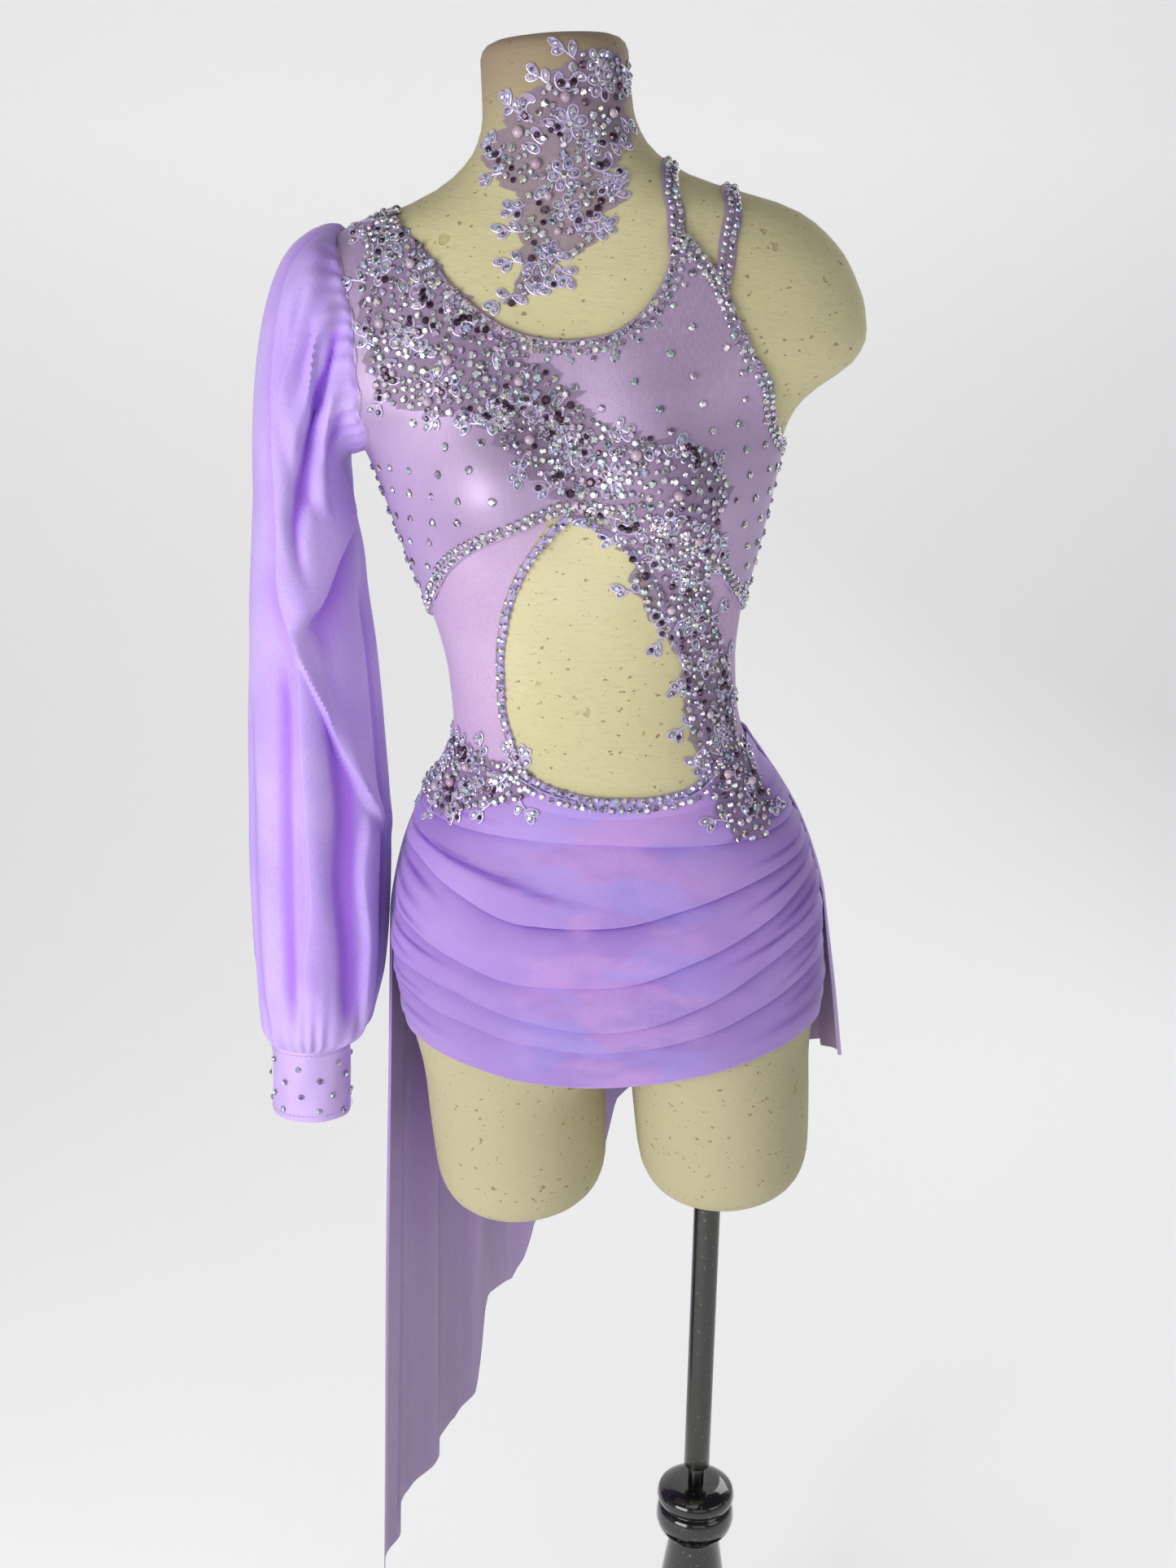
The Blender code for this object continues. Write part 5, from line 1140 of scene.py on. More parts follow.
def tape(name, pairs, width, rise, finish, tree, closed=False, shift=0.0):
    # a flat tape with rounded edges along a line on the form
    places, facing, _, sideways = formFrame(pairs, closed)
    shares = np.linspace(-1, 1, trims["across"])
    beds = [onTop(tree, places + sideways * (width / 2 * share + shift), facing, trims["lift"]) for share in shares]
    beds = np.array(beds)
    out = ((beds - places) * facing).sum(axis=2)
    level = out.max(axis=0) * 0.6 + out * 0.4  # a tape bridges the steps below it
    level = np.maximum(widened(level, 2, 1, "wrap" if closed else "edge"), out)
    bridge = facing * (level - out)[..., None]
    crown = facing * rise * (0.25 + 0.75 * (1 - shares**4))[:, None, None]
    order = (0, 1, 2) if closed else (1, 0, 2)
    return clothShell(name, (beds + bridge).transpose(order), (beds + crown + bridge).transpose(order), finish, closed)


def edgeRoll(name, outline, finish, radius):  # the turned edge of a panel, as a fine roll
    places, facing, _, sideways = formFrame(evenLine(outline, trims["rollStep"]))
    path = onTop(underLace, places, facing, 0.0)
    points, faces = tubeOf(path, sideways, facing, radius, sides=8, flatten=trims["rollFlat"])
    return dressed(addMesh(name, points, faces, finish), "mauve_satin" if finish is satin else "lilac_binding")


worn = [dressForm, bodiceFront, bodiceBack, *sideMeshes, hipBand, frontSkirtCloth]
underLace = treeOf(*worn)
loopPairs = evenLine(cutOut, trims["bindingStep"], True)
places, _, _, sideways = formFrame(loopPairs, True)
outwardSide = np.sign(((places - onForm(5.0, 1.075)) * sideways).sum(axis=1)).mean()
cutOutBinding = tape(
    "cut_out_binding_tape", loopPairs, trims["bindingWidth"], trims["bindingRise"], bindingSatin, underLace, True,
    outwardSide * trims["bindingWidth"] / 2)
dressed(cutOutBinding, "lilac_binding", "cut_out_binding")
neckRoll = edgeRoll("neckline_edge", rowsOf(neckline, 0, 13), satin, trims["roll"])
armRoll = edgeRoll("left_armhole_edge", leftArmhole, satin, trims["roll"])
backRoll = edgeRoll("back_neckline_edge", backNeckline, satin, trims["roll"])
lowerRoll = edgeRoll("bodice_lower_edge", bodiceLowerEdge, satin, trims["fineRoll"])
sleeveRoll = edgeRoll("sleeve_seam_front", rightArmhole, satin, trims["seamRoll"])
behindArm = {"angle": 180 - rightArmhole["angle"], "height": rightArmhole["height"]}
sleeveRollBack = edgeRoll("sleeve_seam_back", behindArm, satin, trims["seamRoll"])
backLowerRoll = edgeRoll("bodice_back_lower_edge", backLowerEdge, bindingSatin, trims["fineRoll"])
bandRoll = edgeRoll("hip_band_edge", hipBandTop, bindingSatin, trims["fineRoll"])
withBinding = treeOf(*worn, cutOutBinding)
strapPieces = []
for side, route in (("inner", innerStrap), ("outer", outerStrap)):
    pairs = evenLine(route, trims["strapStep"])
    made = tape(side + "_strap_tape", pairs, trims["strapWidth"], trims["strapRise"], satin, withBinding)
    strapPieces.append(dressed(made, "mauve_satin", "strap_" + side))
print("bindings and straps: done")

# raised lace: net, stitched petals, cords, stones and pearls in a layout of its own


def laceOf(*rows):
    return columnsOf("angleA heightA angleB heightB", *rows)


mainLace = laceOf(
    (-76, 1.4035, -64, 1.4045), (-59, 1.395, -42, 1.393), (-50, 1.381, -31, 1.379), (-42.5, 1.35, -20.5, 1.354),
    (-38.5, 1.31, -14, 1.331), (-38.5, 1.282, -8.5, 1.31), (-30, 1.272, -1.5, 1.287), (-21, 1.264, 1.5, 1.268),
    (-17, 1.248, 6.0, 1.256), (-9, 1.222, 14.5, 1.248), (-2, 1.203, 30, 1.238), (5, 1.186, 43, 1.206),
    (11, 1.168, 42, 1.17), (16, 1.13, 43, 1.142), (28, 1.1, 49, 1.11), (36, 1.069, 62, 1.08), (37, 1.039, 71, 1.045),
    (40, 1.003, 70, 1.005), (37, 0.966, 64, 0.966), (40, 0.94, 53, 0.936),
)
hipLace = laceOf(
    (-88, 0.976, -88, 1.008), (-70, 0.972, -70, 1.021), (-55, 0.968, -55, 1.018), (-42, 0.977, -42, 1.012),
    (-30, 0.982, -30, 1.008), (-22, 0.988, -22, 1.003),
)
neckLace = laceOf(
    (20, 1.501, 58, 1.5), (6, 1.491, 66, 1.488), (-10, 1.48, 63, 1.475), (-30, 1.468, 62, 1.462),
    (-45, 1.455, 58, 1.448), (-56, 1.443, 36, 1.436), (-36, 1.426, 26, 1.422), (-16, 1.41, 22, 1.408),
    (-11, 1.396, 10, 1.395), (-9, 1.382, 6, 1.376), (-7.5, 1.365, -1, 1.365), (-8.5, 1.35, -3.5, 1.352),
    (-10.5, 1.34, -8.5, 1.339),
)
lace = {
    "cord": 0.0007, "petalRise": 0.0009, "cordRise": 0.0008, "stoneRise": 0.0009, "netRise": 0.0004, "net": 0.0004,
    "stones": (0.0021, 0.0027, 0.0032), "stoneShares": (3, 6, 4), "between": 0.0001, "stoneCell": 0.0066,
    "curlStones": 0.0052, "curlWidth": 0.0027, "sprayLeaf": 0.0056, "tipLeaf": 0.0058, "leafStone": 0.0023,
    "stemBend": 0.6, "stemPoints": 9, "leavesFrom": 0.25, "leavesOver": 0.65, "leafTurn": (0.7, 1.05),
    "leafLength": (0.008, 0.0105), "tipLength": (0.0085, 0.0115),
    "sprayTurn": 0.7, "spraySize": (0.75, 1.1), "sprayLeaves": (2, 2, 3), "leavesWithin": (0.1, 0.9),
    "smallLength": (0.009, 0.013), "smallWidth": (0.0056, 0.007), "bareScale": 75, "barer": 1.2, "bareFrom": 0.3,
}


def laceAt(edges, row, share):
    index = np.arange(len(edges["angleA"]), dtype=float)
    angleA, heightA, angleB, heightB = (steady(index, values, row * index[-1]) for values in edges.values())
    return angleA * (1 - share) + angleB * share, heightA * (1 - share) + heightB * share


def spotsAt(angle, height):  # places on the form, with the ways out, right and up
    place, facing = onForm(angle, height), outward(angle, height)
    right = unit(np.cross(skyward, -facing))
    return place, facing, right, np.cross(facing, right)


def stoneShape(sides=8):
    turns = turnsOf(sides)
    levels = ((turns, 1.0, 0.02), (turns, 1.0, 0.22), (turns + math.pi / sides, 0.56, 0.72))
    points = np.concatenate([stacked(size * np.cos(turn), size * np.sin(turn), rise) for turn, size, rise in levels])
    around = [(k, (k + 1) % sides) for k in range(sides)]
    faces = [[k, after, sides + after, sides + k] for k, after in around]
    for k, after in around:
        faces.append([sides + k, sides + after, 2 * sides + k])
        faces.append([sides + after, 2 * sides + after, 2 * sides + k])
    return points, faces + [list(range(2 * sides, 3 * sides)), list(range(sides))[::-1]]


def domeShape(around=12, rings=5):
    tilt, turn = math.pi * 0.5 * np.arange(rings)[:, None] / rings, turnsOf(around)
    dome = stacked(np.cos(tilt) * np.cos(turn), np.cos(tilt) * np.sin(turn), 0.35 + 0.95 * np.sin(tilt))
    last, tip = (rings - 1) * around, rings * around
    faces = gridFaces(rings, around, True).tolist() + fan(range(last, tip), tip)
    return np.concatenate([dome.reshape(-1, 3), [(0, 0, 1.3)]]), faces + [list(range(around))[::-1]]


facetShades, rimShade = (0.04, 0.18, 0.4, 0.62, 0.85, 1.0, 1.0), 0.1  # painted reflections: a random brightness for each facet, and a painted dark rim as a foiled stone shows
stonePoints, stoneFaces = stoneShape()
pearlPoints, pearlFaces = domeShape()
rimFaces = (len(stoneFaces) - 2) // 3


class LaceWork:  # gathers one lace's cords, petals, stones and pearls on the dressed form
    def __init__(self, tree, seed):
        self.tree, self.draw, self.taken = tree, random.Random(seed), []
        self.cords, self.petals, self.clear, self.dark, self.pearls = (Bits() for _ in range(5))

    def lay(self, spot, xy, rise):
        place, facing, right, up = spot
        flat = place + xy[:, :1] * right + xy[:, 1:2] * up
        return onTop(self.tree, flat, np.broadcast_to(facing, flat.shape), rise)

    def cord(self, spot, xy, closed=False):
        path = self.lay(spot, xy, lace["cordRise"])
        facing = np.broadcast_to(spot[1], path.shape)
        size = np.full(len(path), lace["cord"])
        if not closed:
            size[[0, -1]] *= 0.5
        points, faces = tubeOf(path, unit(np.cross(runOf(path, closed), facing)), facing, size, closed)
        self.cords.add(points, faces, self.draw.random())

    def leaf(self, spot, base, turn, length, width):
        c, s = math.cos(turn), math.sin(turn)

        def inLeaf(along, across=0.0):
            return base[0] + along * c - across * s, base[1] + along * s + across * c

        t = np.linspace(0, 2 * math.pi, 15)[:-1]
        across = width / 2 * np.sin(t) * (0.62 + 0.38 * np.sin(t / 2))
        xy = stacked(*inLeaf(length * (0.5 - 0.5 * np.cos(t)), across))
        edge = self.lay(spot, xy, lace["petalRise"] * 0.4)
        middle = self.lay(spot, np.array([inLeaf(length * 0.5)]), lace["petalRise"] * 1.3)
        self.petals.add(np.concatenate([edge, middle]), fan(range(len(edge)), len(edge)), self.draw.random())
        self.cord(spot, xy, True)
        self.stone(spot, inLeaf(length * 0.56), min(width * 0.36, lace["leafStone"]), self.draw.random() < 0.12)

    def stone(self, spot, xy, radius, dark=False):
        self.setStone(self.lay(spot, np.array([xy]), lace["stoneRise"])[0], spot, radius, dark)

    def setStone(self, place, spot, radius, dark=False, pearlBead=False):
        _, facing, right, up = spot
        tilt = unit(facing + right * self.draw.uniform(-0.16, 0.16) + up * self.draw.uniform(-0.16, 0.16))
        side = unit(np.cross(tilt, up))
        other = np.cross(side, tilt)
        spin = self.draw.uniform(0, math.pi)
        c, s = math.cos(spin), math.sin(spin)
        shape, faces, facets = pearlPoints, pearlFaces, None
        if not pearlBead:
            shape, faces = stonePoints, stoneFaces
            # painted reflections: a dark rim, then a random brightness for each facet
            facets = [rimShade if k < rimFaces else self.draw.choice(facetShades) for k in range(len(faces))]
        ways = (side * c + other * s, other * c - side * s, tilt)
        points = place + radius * sum(shape[:, k : k + 1] * way for k, way in enumerate(ways))
        bits = self.pearls if pearlBead else self.dark if dark else self.clear
        bits.add(points, faces, self.draw.random(), facets)
        self.taken.append((*place, radius))

    def flower(self, spot, radius, petals, turn):
        for k in range(petals):
            way = turn + k * 2 * math.pi / petals
            base = (0.22 * radius * math.cos(way), 0.22 * radius * math.sin(way))
            self.leaf(spot, base, way, radius * 0.8, radius * 0.62)
        self.stone(spot, (0, 0), lace["stones"][2])

    def curl(self, spot, radius, turn, flip):  # a hooked scroll, edged with cord, with dark stones along it
        t = np.linspace(0, 1, 22)
        bend, size = turn + flip * t * 4.1, radius * (1 - 0.45 * t)
        line = stacked(size * np.cos(bend), size * np.sin(bend))
        way = unit(np.gradient(line, axis=0))
        width = lace["curlWidth"] * (0.35 + np.sin(math.pi * np.clip(t * 0.92 + 0.04, 0, 1)))[:, None]
        side = stacked(-way[:, 1], way[:, 0]) * width
        xy = np.concatenate([line + side, (line - side)[::-1]])
        self.cord(spot, xy, True)
        last = 2 * len(t) - 1
        band = [[k, k + 1, last - 1 - k, last - k] for k in range(len(t) - 1)]
        self.petals.add(self.lay(spot, xy, lace["petalRise"] * 0.6), band, self.draw.random())
        distance = walked(line)
        for k in range(1, int(distance[-1] / lace["curlStones"])):
            at = tuple(np.interp(k * lace["curlStones"], distance, line[:, j]) for j in (0, 1))
            self.stone(spot, at, lace["stones"][1], self.draw.random() < 0.75)

    def spray(self, spot, turn, length, leaves):  # a bent stem with leaves in pairs and one at its tip
        draw = self.draw.uniform
        bend, t = draw(-lace["stemBend"], lace["stemBend"]), np.linspace(0, 1, lace["stemPoints"])
        heading = turn + bend * t
        line = np.cumsum(stacked(np.cos(heading), np.sin(heading)) * length / (len(t) - 1), axis=0)
        self.cord(spot, line)
        for k in range(leaves):
            at = lace["leavesFrom"] + lace["leavesOver"] * k / max(1, leaves - 1)
            point = [np.interp(at, t, line[:, j]) for j in (0, 1)]
            way = turn + bend * at + (1 if k % 2 else -1) * draw(*lace["leafTurn"])
            self.leaf(spot, point, way, draw(*lace["leafLength"]), lace["sprayLeaf"])
        self.leaf(spot, line[-1], turn + bend, draw(*lace["tipLength"]), lace["tipLeaf"])

    def fill(self, edges, count, darkShare, inset=0.02, keep=1.0):
        # stones strewn until none fits, each clear of those already set
        grid = {}

        def cellOf(point):
            return tuple(int(math.floor(c / lace["stoneCell"])) for c in point)

        for x, y, z, r in self.taken:
            grid.setdefault(cellOf((x, y, z)), []).append((x, y, z, r))
        row = np.array([self.draw.random() for _ in range(count)])
        share = np.array([self.draw.uniform(inset, 1 - inset) for _ in range(count)])
        for spot in zip(*spotsAt(*laceAt(edges, row, share))):
            flat = x, y, z = spot[0]
            if noise.noise(Vector(flat) * lace["bareScale"]) > lace["barer"] * keep - lace["bareFrom"]:
                continue
            home = cellOf(flat)
            radius = self.draw.choices(lace["stones"], lace["stoneShares"])[0]
            near = [other for i in (-1, 0, 1) for j in (-1, 0, 1) for k in (-1, 0, 1)
                    for other in grid.get((home[0] + i, home[1] + j, home[2] + k), ())]
            clear = radius + lace["between"]
            if any((a - x) ** 2 + (b - y) ** 2 + (c - z) ** 2 < (clear + r) ** 2 for a, b, c, r in near):
                continue
            place = onTop(self.tree, flat[None], spot[1][None], lace["stoneRise"])[0]
            self.setStone(place, spot, radius, self.draw.random() < darkShare)
            grid.setdefault(home, []).append((x, y, z, radius))

    def net(self, name, edges, rows, columns):
        row = np.linspace(0, 1, rows)[:, None]
        lobes = 0.05 * np.sin(row * rows * 0.9) + 0.03 * np.sin(row * rows * 2.3 + 1)
        share = 0.5 + (np.linspace(0, 1, columns)[None, :] - 0.5) * (1.02 + lobes * 2)
        places, facing, _, _ = spotsAt(*laceAt(edges, row, share))
        inner = onTop(self.tree, places.reshape(-1, 3), facing.reshape(-1, 3), lace["netRise"]).reshape(places.shape)
        return clothShell(name, inner, inner + facing * lace["net"], netGround)

    def build(self, name, node, ground):
        kinds = {
            "petals": (self.petals, petalThread, False), "cords": (self.cords, cordThread, False),
            "stones": (self.clear, clearStone, True), "dark_stones": (self.dark, darkStone, True),
            "pearls": (self.pearls, pearl, False),
        }
        dressed(ground, "corded_lace", node)
        filled = [(kind, *parts) for kind, parts in kinds.items() if parts[0].count]
        return [dressed(bits.build(f"{name}_{kind}", *look), "corded_lace") for kind, bits, *look in filled]


def decorate(work, edges, plan, sprayLength, sprays, inside, edgedTo=0.0):
    # the listed motifs, then leaf sprays along both edges and small leaves between
    draw = work.draw.uniform
    for row, share, turn, size, kind in plan:
        spot = spotsAt(*laceAt(edges, row, share))
        if kind == "pearl":
            place = onTop(work.tree, spot[0][None], spot[1][None], lace["petalRise"])[0]
            work.setStone(place, spot, size, pearlBead=True)
        elif kind == "curl":
            work.curl(spot, size, math.radians(turn), 1 if share > 0.5 else -1)
        else:
            work.flower(spot, size, 6 if kind == "flower" else 5, math.radians(turn))
    for k in range(sprays):
        row = (k + 0.5) / sprays
        for side in (0, 1):
            if side and row < edgedTo:  # along the neckline the lace is trimmed to the edge
                continue
            spot = spotsAt(*laceAt(edges, row, side * 0.76 + 0.12))
            toward = onForm(*laceAt(edges, row, side * 1.2 - 0.1)) - spot[0]
            turn = math.atan2(float(toward @ spot[3]), float(toward @ spot[2]))
            turn = turn + draw(-lace["sprayTurn"], lace["sprayTurn"])
            work.spray(spot, turn, sprayLength * draw(*lace["spraySize"]), work.draw.choice(lace["sprayLeaves"]))
    for _ in range(inside):
        spot = spotsAt(*laceAt(edges, work.draw.random(), draw(*lace["leavesWithin"])))
        work.leaf(spot, (0, 0), draw(0, 2 * math.pi), draw(*lace["smallLength"]), draw(*lace["smallWidth"]))


def makeLace(name, node, seed, edges, plan, sprayed, strewn, netSize):
    work = LaceWork(withBinding, seed)
    decorate(work, edges, plan, *sprayed)
    work.fill(edges, *strewn)
    ground = work.net(name + "_net", edges, *netSize)
    return work, ground, work.build(name, node, ground)


# each motif: its place down the lace and across it, its turn, its size and its kind
mainPlan = [
    (0.07, 0.5, 10, 0.0105, "bloom"), (0.125, 0.28, 40, 0.0115, "flower"), (0.13, 0.72, 15, 0.0034, "pearl"),
    (0.165, 0.62, 70, 0.0075, "curl"), (0.185, 0.18, 0, 0.0036, "pearl"), (0.205, 0.4, 25, 0.0135, "flower"),
    (0.215, 0.84, 200, 0.008, "curl"), (0.235, 0.22, 130, 0.008, "curl"), (0.25, 0.62, 0, 0.0038, "pearl"),
    (0.275, 0.46, 50, 0.0125, "bloom"), (0.3, 0.2, 0, 0.0034, "pearl"), (0.305, 0.8, 0, 0.0034, "pearl"),
    (0.335, 0.62, 300, 0.008, "curl"), (0.36, 0.34, 15, 0.0115, "flower"), (0.4, 0.66, 35, 0.011, "bloom"),
    (0.425, 0.28, 0, 0.0036, "pearl"), (0.455, 0.5, 45, 0.012, "flower"), (0.47, 0.16, 240, 0.0075, "curl"),
    (0.5, 0.72, 0, 0.004, "pearl"), (0.515, 0.38, 10, 0.013, "flower"), (0.53, 0.86, 120, 0.0105, "curl"),
    (0.56, 0.6, 0, 0.0036, "pearl"), (0.575, 0.18, 210, 0.009, "curl"), (0.59, 0.46, 55, 0.0125, "bloom"),
    (0.625, 0.74, 0, 0.0034, "pearl"), (0.64, 0.3, 20, 0.011, "flower"), (0.675, 0.62, 80, 0.011, "bloom"),
    (0.705, 0.3, 0, 0.0034, "pearl"), (0.735, 0.56, 35, 0.0105, "flower"), (0.79, 0.5, 5, 0.011, "bloom"),
    (0.835, 0.7, 160, 0.0075, "curl"), (0.85, 0.34, 0, 0.0034, "pearl"), (0.88, 0.52, 60, 0.0115, "flower"),
    (0.915, 0.3, 0, 0.0036, "pearl"), (0.93, 0.72, 0, 0.0036, "pearl"), (0.95, 0.5, 250, 0.009, "curl"),
]
neckPlan = [
    (0.06, 0.45, 20, 0.0095, "bloom"), (0.13, 0.16, 200, 0.007, "curl"), (0.15, 0.62, 45, 0.0115, "flower"),
    (0.215, 0.34, 0, 0.0036, "pearl"), (0.25, 0.12, 100, 0.0078, "curl"), (0.27, 0.8, 0, 0.0034, "pearl"),
    (0.315, 0.5, 15, 0.0125, "flower"), (0.35, 0.2, 0, 0.004, "pearl"), (0.385, 0.78, 30, 0.0095, "bloom"),
    (0.4, 0.1, 150, 0.0085, "curl"), (0.44, 0.9, 330, 0.009, "curl"), (0.47, 0.44, 0, 0.0038, "pearl"),
    (0.51, 0.6, 10, 0.011, "flower"), (0.56, 0.86, 40, 0.008, "bloom"), (0.59, 0.3, 0, 0.003, "pearl"),
    (0.64, 0.52, 55, 0.0095, "bloom"), (0.72, 0.5, 0, 0.0026, "pearl"), (0.79, 0.55, 30, 0.008, "bloom"),
]
hipPlan = [
    (0.12, 0.55, 20, 0.011, "flower"), (0.3, 0.86, 60, 0.0065, "curl"), (0.33, 0.4, 0, 0.0036, "pearl"),
    (0.4, 0.7, 0, 0.0034, "pearl"), (0.48, 0.36, 45, 0.0095, "bloom"), (0.23, 0.22, 0, 0.0034, "pearl"),
    (0.69, 0.55, 10, 0.008, "bloom"),
]
mainWork, mainNet, mainPieces = makeLace(
    "main_lace", "lace_main", 41, mainLace, mainPlan, (0.014, 17, 80, 0.4), (15000, 0.09), (170, 22))
hipWork, hipNet, hipPieces = makeLace(
    "hip_lace", "lace_hip", 42, hipLace, hipPlan, (0.011, 5, 12), (2400, 0.12), (44, 16))
neckWork, neckNet, neckPieces = makeLace(
    "neck_lace", "lace_neck", 43, neckLace, neckPlan, (0.0125, 9, 16), (3000, 0.12, 0.1, 0.4), (80, 20))
print("lace: done")

# the stones along the edges and over the satin

rows = {
    "neck": (0.0024, 0.0078), "third": 0.0132, "lower": (0.0026, 0.0078), "band": (0.0034,), "strap": (-0.0027, 0.0027),
    "binding": (0.002, 0.0052), "pitch": 0.0057, "jitter": 0.0005, "edge": 0.0026, "bind": 0.0023, "clear": 0.0042,
}
scatter = {
    "up": 0.0175, "across": 0.0235, "radius": 0.0028, "low": 1.108, "high": 1.372, "clear": 0.008, "sideUp": 0.0115,
    "cuffUp": 0.0135, "cuffAround": 7, "cuffShifts": (0, 0.5, 0.15, 0.62), "cuffOut": 0.0007,
    "cuffRange": (0.6905, 0.744), "cuffStray": (0.1, 0.002), "cuffSize": 0.9,
    "waist": 0.115, "chest": 0.125, "chestFrom": 1.2, "range": (-86, 88), "stray": (1.2, 0.0018), "sizes": (0.9, 1.15),
    "sides": (-87, 87), "sideRange": (1.116, 1.226), "sideStray": 0.5, "sideTop": 1.22, "sideSize": 0.9,
}
topLayer = treeOf(*worn, cutOutBinding, *strapPieces)
edgeWork = LaceWork(topLayer, 51)
laceSpots = np.array([t[:3] for t in mainWork.taken + hipWork.taken + neckWork.taken])


def clearOfLace(place, gap):
    return ((laceSpots - place) ** 2).sum(axis=1).min() > gap**2


def stoneRows(outline, offsets, spacing, radius, sideSign, closed=False):
    pitch, draw = rows["pitch"] * spacing, edgeWork.draw.uniform
    places, facing, along, sideways = formFrame(evenLine(outline, pitch, closed), closed)
    for k, offset in enumerate(offsets):
        for place, way, run, side in zip(places, facing, along, sideways):
            wander = draw(-1, 1) * rows["jitter"]
            ahead = (0.5 * pitch if k % 2 else 0.0) + draw(-1, 1) * rows["jitter"]
            flat = place + side * (sideSign * offset + wander) + run * ahead
            if clearOfLace(flat, rows["clear"]):
                bed = onTop(edgeWork.tree, flat[None], way[None], 0.0002)[0]
                edgeWork.setStone(bed, (flat, way, run, side), radius * draw(0.86, 1.12))


stoneRows(rowsOf(neckline, 3, 13), rows["neck"], 1, rows["edge"], 1)
stoneRows(rowsOf(neckline, 3, 13), (rows["third"],), 2.3, rows["edge"] * 0.9, 1)
stoneRows(leftArmhole, rows["neck"], 1, rows["edge"], -1)
stoneRows(rowsOf(backNeckline, 0, 10), rows["neck"][:1], 1.4, rows["edge"], 1)
stoneRows(bodiceLowerEdge, rows["lower"], 1, rows["edge"], -1)
stoneRows(rowsOf(hipBandTop, 2, 11), rows["band"], 1.1, rows["edge"], 1)
stoneRows(cutOut, rows["binding"][:1], 1.1, rows["bind"], outwardSide, True)
stoneRows(cutOut, rows["binding"][1:], 1.7, rows["bind"] * 0.85, outwardSide, True)
for route in (innerStrap, outerStrap):
    stoneRows(route, rows["strap"], 1, rows["bind"] * 1.08, 1)
edgeStones = dressed(edgeWork.clear.build("edge_stones", clearStone, True), "corded_lace")

scatterWork = LaceWork(treeOf(bodiceFront, bodiceBack), 52)


def insideBodice(angle, height):
    def levelAt(outline, way=1):
        return np.interp(angle, outline["angle"][::way], outline["height"][::way])

    if angle > 25:
        highest = levelAt(leftArmhole, -1) - 0.01
    elif angle > -42:
        highest = levelAt(neckline) - 0.014
    else:
        highest = 1.234 if angle < -43 else 1.3
    return levelAt(bodiceLowerEdge) + 0.013 < height < highest


def scatterStone(spot, size):
    bed = onTop(scatterWork.tree, spot[0][None], spot[1][None], 0.0001)[0]
    scatterWork.setStone(bed, spot, scatter["radius"] * size)


def scatterStones():
    draw = scatterWork.draw.uniform
    level, line = scatter["low"], 0
    (firstAngle, lastAngle), (sideways, upward) = scatter["range"], scatter["stray"]
    while level < scatter["high"]:
        halfWidth = scatter["waist"] if level < scatter["chestFrom"] else scatter["chest"]
        width = scatter["across"] * 180 / math.pi / halfWidth
        angle = firstAngle + (0.5 * width if line % 2 else 0.0)
        while angle < lastAngle:
            a, h = angle + draw(-sideways, sideways), level + draw(-upward, upward)
            spot = spotsAt(a, h)
            if insideBodice(a, h) and clearOfLace(spot[0], scatter["clear"]):
                scatterStone(spot, draw(*scatter["sizes"]))
            angle += width
        level += scatter["up"]
        line += 1
    for line in scatter["sides"]:
        for h in np.arange(*scatter["sideRange"], scatter["sideUp"]):
            spot = spotsAt(line + draw(-scatter["sideStray"], scatter["sideStray"]), h)
            if insideBodice(line, h) or h < scatter["sideTop"]:
                scatterStone(spot, scatter["sideSize"])
    around, (sideways, upward) = scatter["cuffAround"], scatter["cuffStray"]
    out = cuff["thickness"] + scatter["cuffOut"]
    for k, h in enumerate(np.arange(*scatter["cuffRange"], scatter["cuffUp"])):
        for step in range(around):
            turn = (step + scatter["cuffShifts"][k % 4]) * 2 * math.pi / around + draw(-sideways, sideways)
            place, facing = cuffPoint(turn, h + draw(-upward, upward), out), cuffFacing(turn)
            size = scatter["radius"] * scatter["cuffSize"]
            scatterWork.setStone(place, (place, facing, np.cross(skyward, facing), skyward), size)
    return dressed(scatterWork.clear.build("scattered_stones", clearStone, True), "corded_lace")


scatterStones()
print("stones: done")

# sewing

sewing = {"pitch": 0.0034, "length": 0.0022, "radius": 0.00022, "rise": 0.00018, "cuffAt": 0.005, "cuffRadius": 0.028}
stitches = Bits()


def stitchLine(places, facing, along):
    for place, way, run in zip(places, facing, along):
        half = run * sewing["length"] / 2
        path = np.array([place - half, place + way * sewing["rise"], place + half])
        side, way = (np.broadcast_to(v, path.shape) for v in (unit(np.cross(run, way)), way))
        stitches.add(*tubeOf(path, side, way, sewing["radius"], sides=4))


for outline, offset in (
    (upLine(-89.0, 1.114, 1.238), 0), (upLine(89.0, 1.104, 1.226), 0), (upLine(268.5, 1.114, 1.238), 0),
    (upLine(91.0, 1.104, 1.226), 0), (backNeckline, 0.0045), (backLowerEdge, -0.0045), (rightArmhole, -0.004),
    (backWaist, 0.004),
):
    places, facing, along, sideways = formFrame(evenLine(outline, sewing["pitch"]))
    stitchLine(onTop(topLayer, places + sideways * offset, facing, 0.00015), facing, along)
for height in (cuff["top"] - sewing["cuffAt"], cuff["foot"] + sewing["cuffAt"]):
    turn = np.arange(0, 2 * math.pi, sewing["pitch"] / sewing["cuffRadius"])
    facing = cuffFacing(turn)
    stitchLine(cuffPoint(turn, height, cuff["thickness"] + 0.0009), facing, np.cross(skyward, facing))
dressed(stitches.build("stitching", seamThread), "lilac_binding")
print("sewing: done")
# floor, light and camera

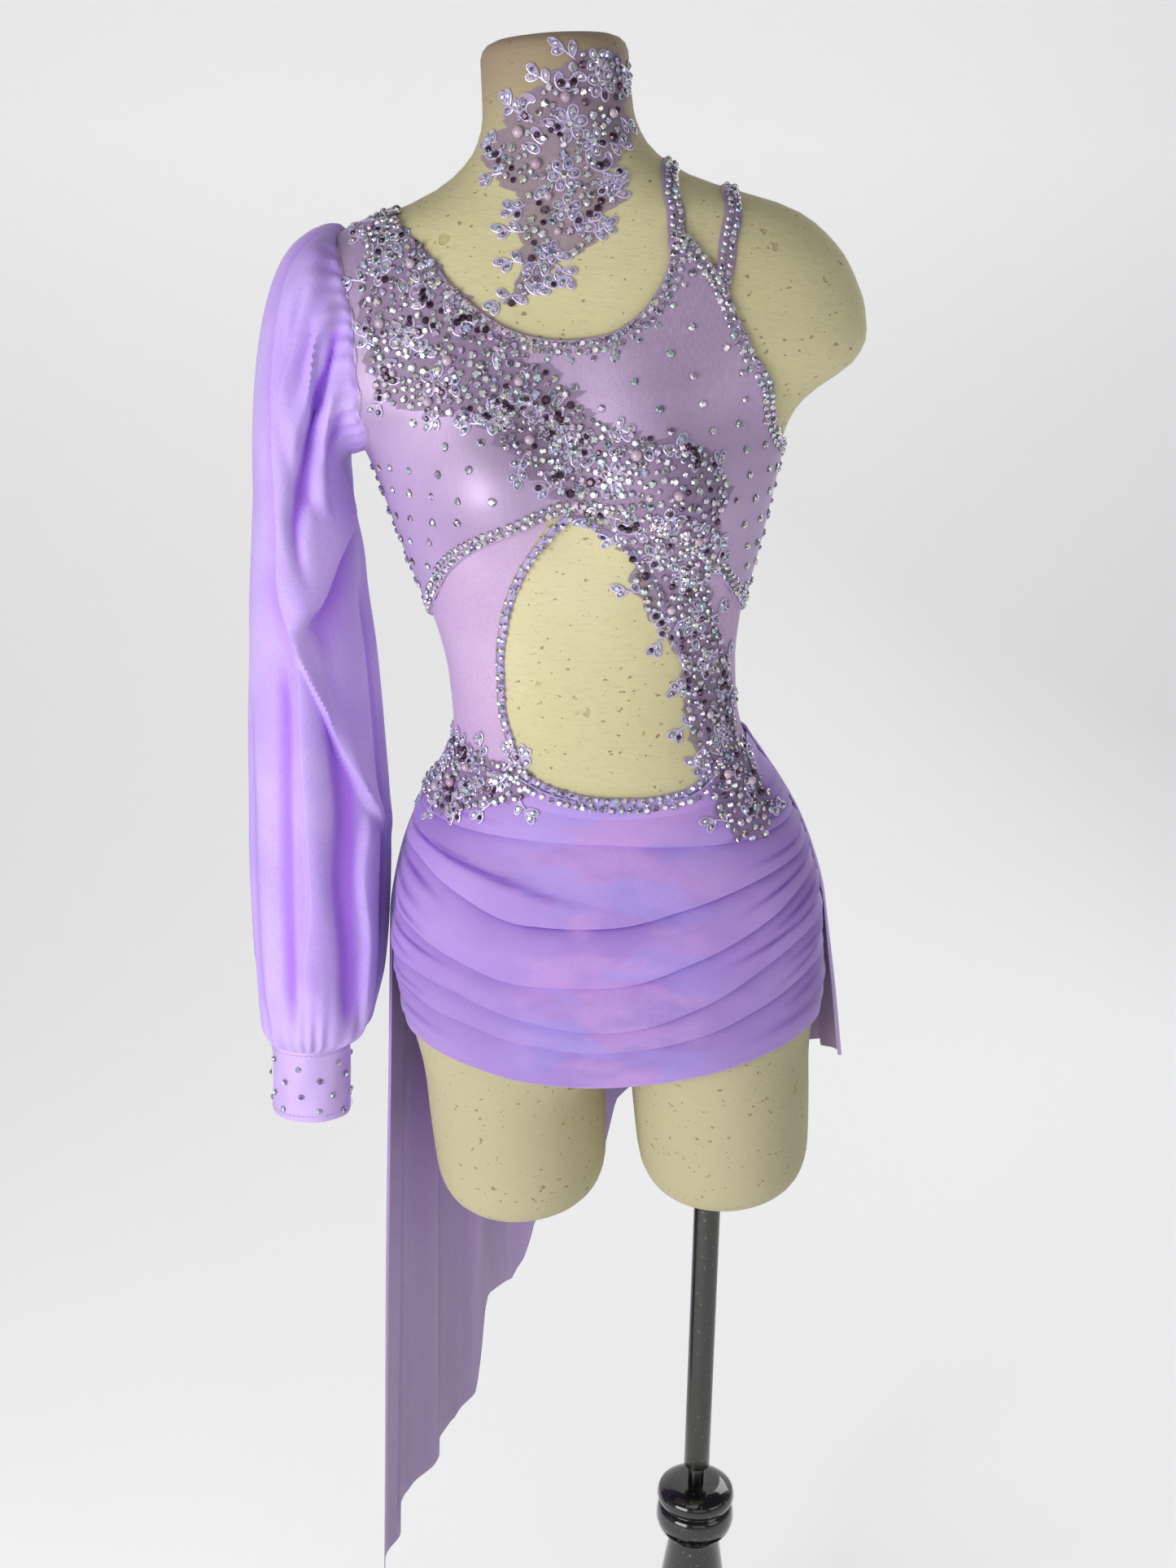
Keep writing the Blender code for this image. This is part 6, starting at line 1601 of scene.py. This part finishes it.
sweepShape = {"width": 9.0, "front": -4.5, "back": 3.2, "rise": 4.5, "bend": 1.6}
lights = (  # name, place, target, width and height, power, colour
    ("left softbox", (-1.35, -1.45, 1.0), (-0.22, 0, 1.14), (1.2, 1.3), 30, (1.0, 0.985, 0.97)),
    ("front fill", (0.4, -2.6, 1.4), (-0.1, 0, 1.15), (1.7, 1.5), 5, (1, 1, 1)),
    ("top softbox", (-0.3, -0.6, 2.7), (-0.1, 0, 1.15), (0.9, 0.7), 2.5, (1.0, 0.98, 0.95)),
    ("right fill", (1.35, -0.95, 1.3), (0.08, 0, 1.08), (0.8, 1.1), 3.5, (1, 1, 1)),
    ("back fill", (1.2, 1.8, 1.9), (-0.1, 0, 1.0), (1.2, 1.2), 12, (1, 1, 1)),
)
view = {"place": (-0.1075, -1.35, 1.38), "down": 17, "roll": 0.0176, "focal": 2200, "tall": 1926, "sensor": 36}
scene = bpy.context.scene


def addToScene(name, data):
    made = bpy.data.objects.new(name, data)
    scene.collection.objects.link(made)
    return made


def makeStage():
    s = sweepShape
    start, bend = s["back"] - s["bend"], s["bend"]
    path = [(s["front"], 0.0), (start, 0.0)]
    path += [(start + bend * math.sin(a), bend - bend * math.cos(a)) for a in np.linspace(0.1, math.pi / 2, 14)]
    path += [(s["back"], s["rise"])]
    points = [(x, y, z) for y, z in path for x in (-s["width"] / 2, s["width"] / 2)]
    mesh = bpy.data.meshes.new("sweep")
    mesh.from_pydata(points, [], gridFaces(len(path), 2).tolist())
    mesh.shade_smooth()
    mesh.materials.append(Finish("pale sweep", {
        "Base Color": (0.93, 0.93, 0.93, 1), "Roughness": 0.95, "Specular IOR Level": 0.1,
        "Emission Color": (1, 1, 1, 1), "Emission Strength": 0.32,
    }).material)
    sweep = addToScene("sweep", mesh)


def makeSky():
    world = bpy.data.worlds.new("studio")
    world.use_nodes = True
    sky = world.node_tree.nodes
    ramp, split, way = (sky.new("ShaderNode" + kind) for kind in ("ValToRGB", "SeparateXYZ", "TexCoord"))
    for point, stop in zip(ramp.color_ramp.elements, ((0.15, (0.78, 0.78, 0.8, 1)), (0.8, (0.18, 0.19, 0.22, 1)))):
        point.position, point.color = stop
    sources = (way.outputs["Generated"], split.outputs[2], ramp.outputs[0])
    for source, target in zip(sources, (split, ramp, sky["Background"])):
        world.node_tree.links.new(source, target.inputs[0])
    sky["Background"].inputs[1].default_value = 0.4
    scene.world = world


def makeCamera():
    camera = bpy.data.cameras.new("camera")
    camera.sensor_fit, camera.sensor_height, camera.clip_start = "VERTICAL", view["sensor"], 0.01
    camera.lens = view["sensor"] * view["focal"] / view["tall"]
    tilt = Euler((math.radians(90 - view["down"]), 0, 0)).to_matrix() @ Matrix.Rotation(view["roll"], 3, "Z")
    scene.camera = addToScene("camera", camera)
    scene.camera.matrix_world = Matrix.Translation(view["place"]) @ tilt.to_4x4()


makeStage()
makeSky()
for name, place, target, size, power, colour in lights:
    data = bpy.data.lights.new(name, "AREA")
    data.shape, data.size, data.size_y, data.energy, data.color = "RECTANGLE", *size, power, colour
    lamp = addToScene(name, data)
    lamp.location = place
    lamp.rotation_euler = (Vector(target) - Vector(place)).to_track_quat("-Z", "Y").to_euler()
makeCamera()
scene.view_settings.view_transform = "Standard"
print("stage, light and camera: done")
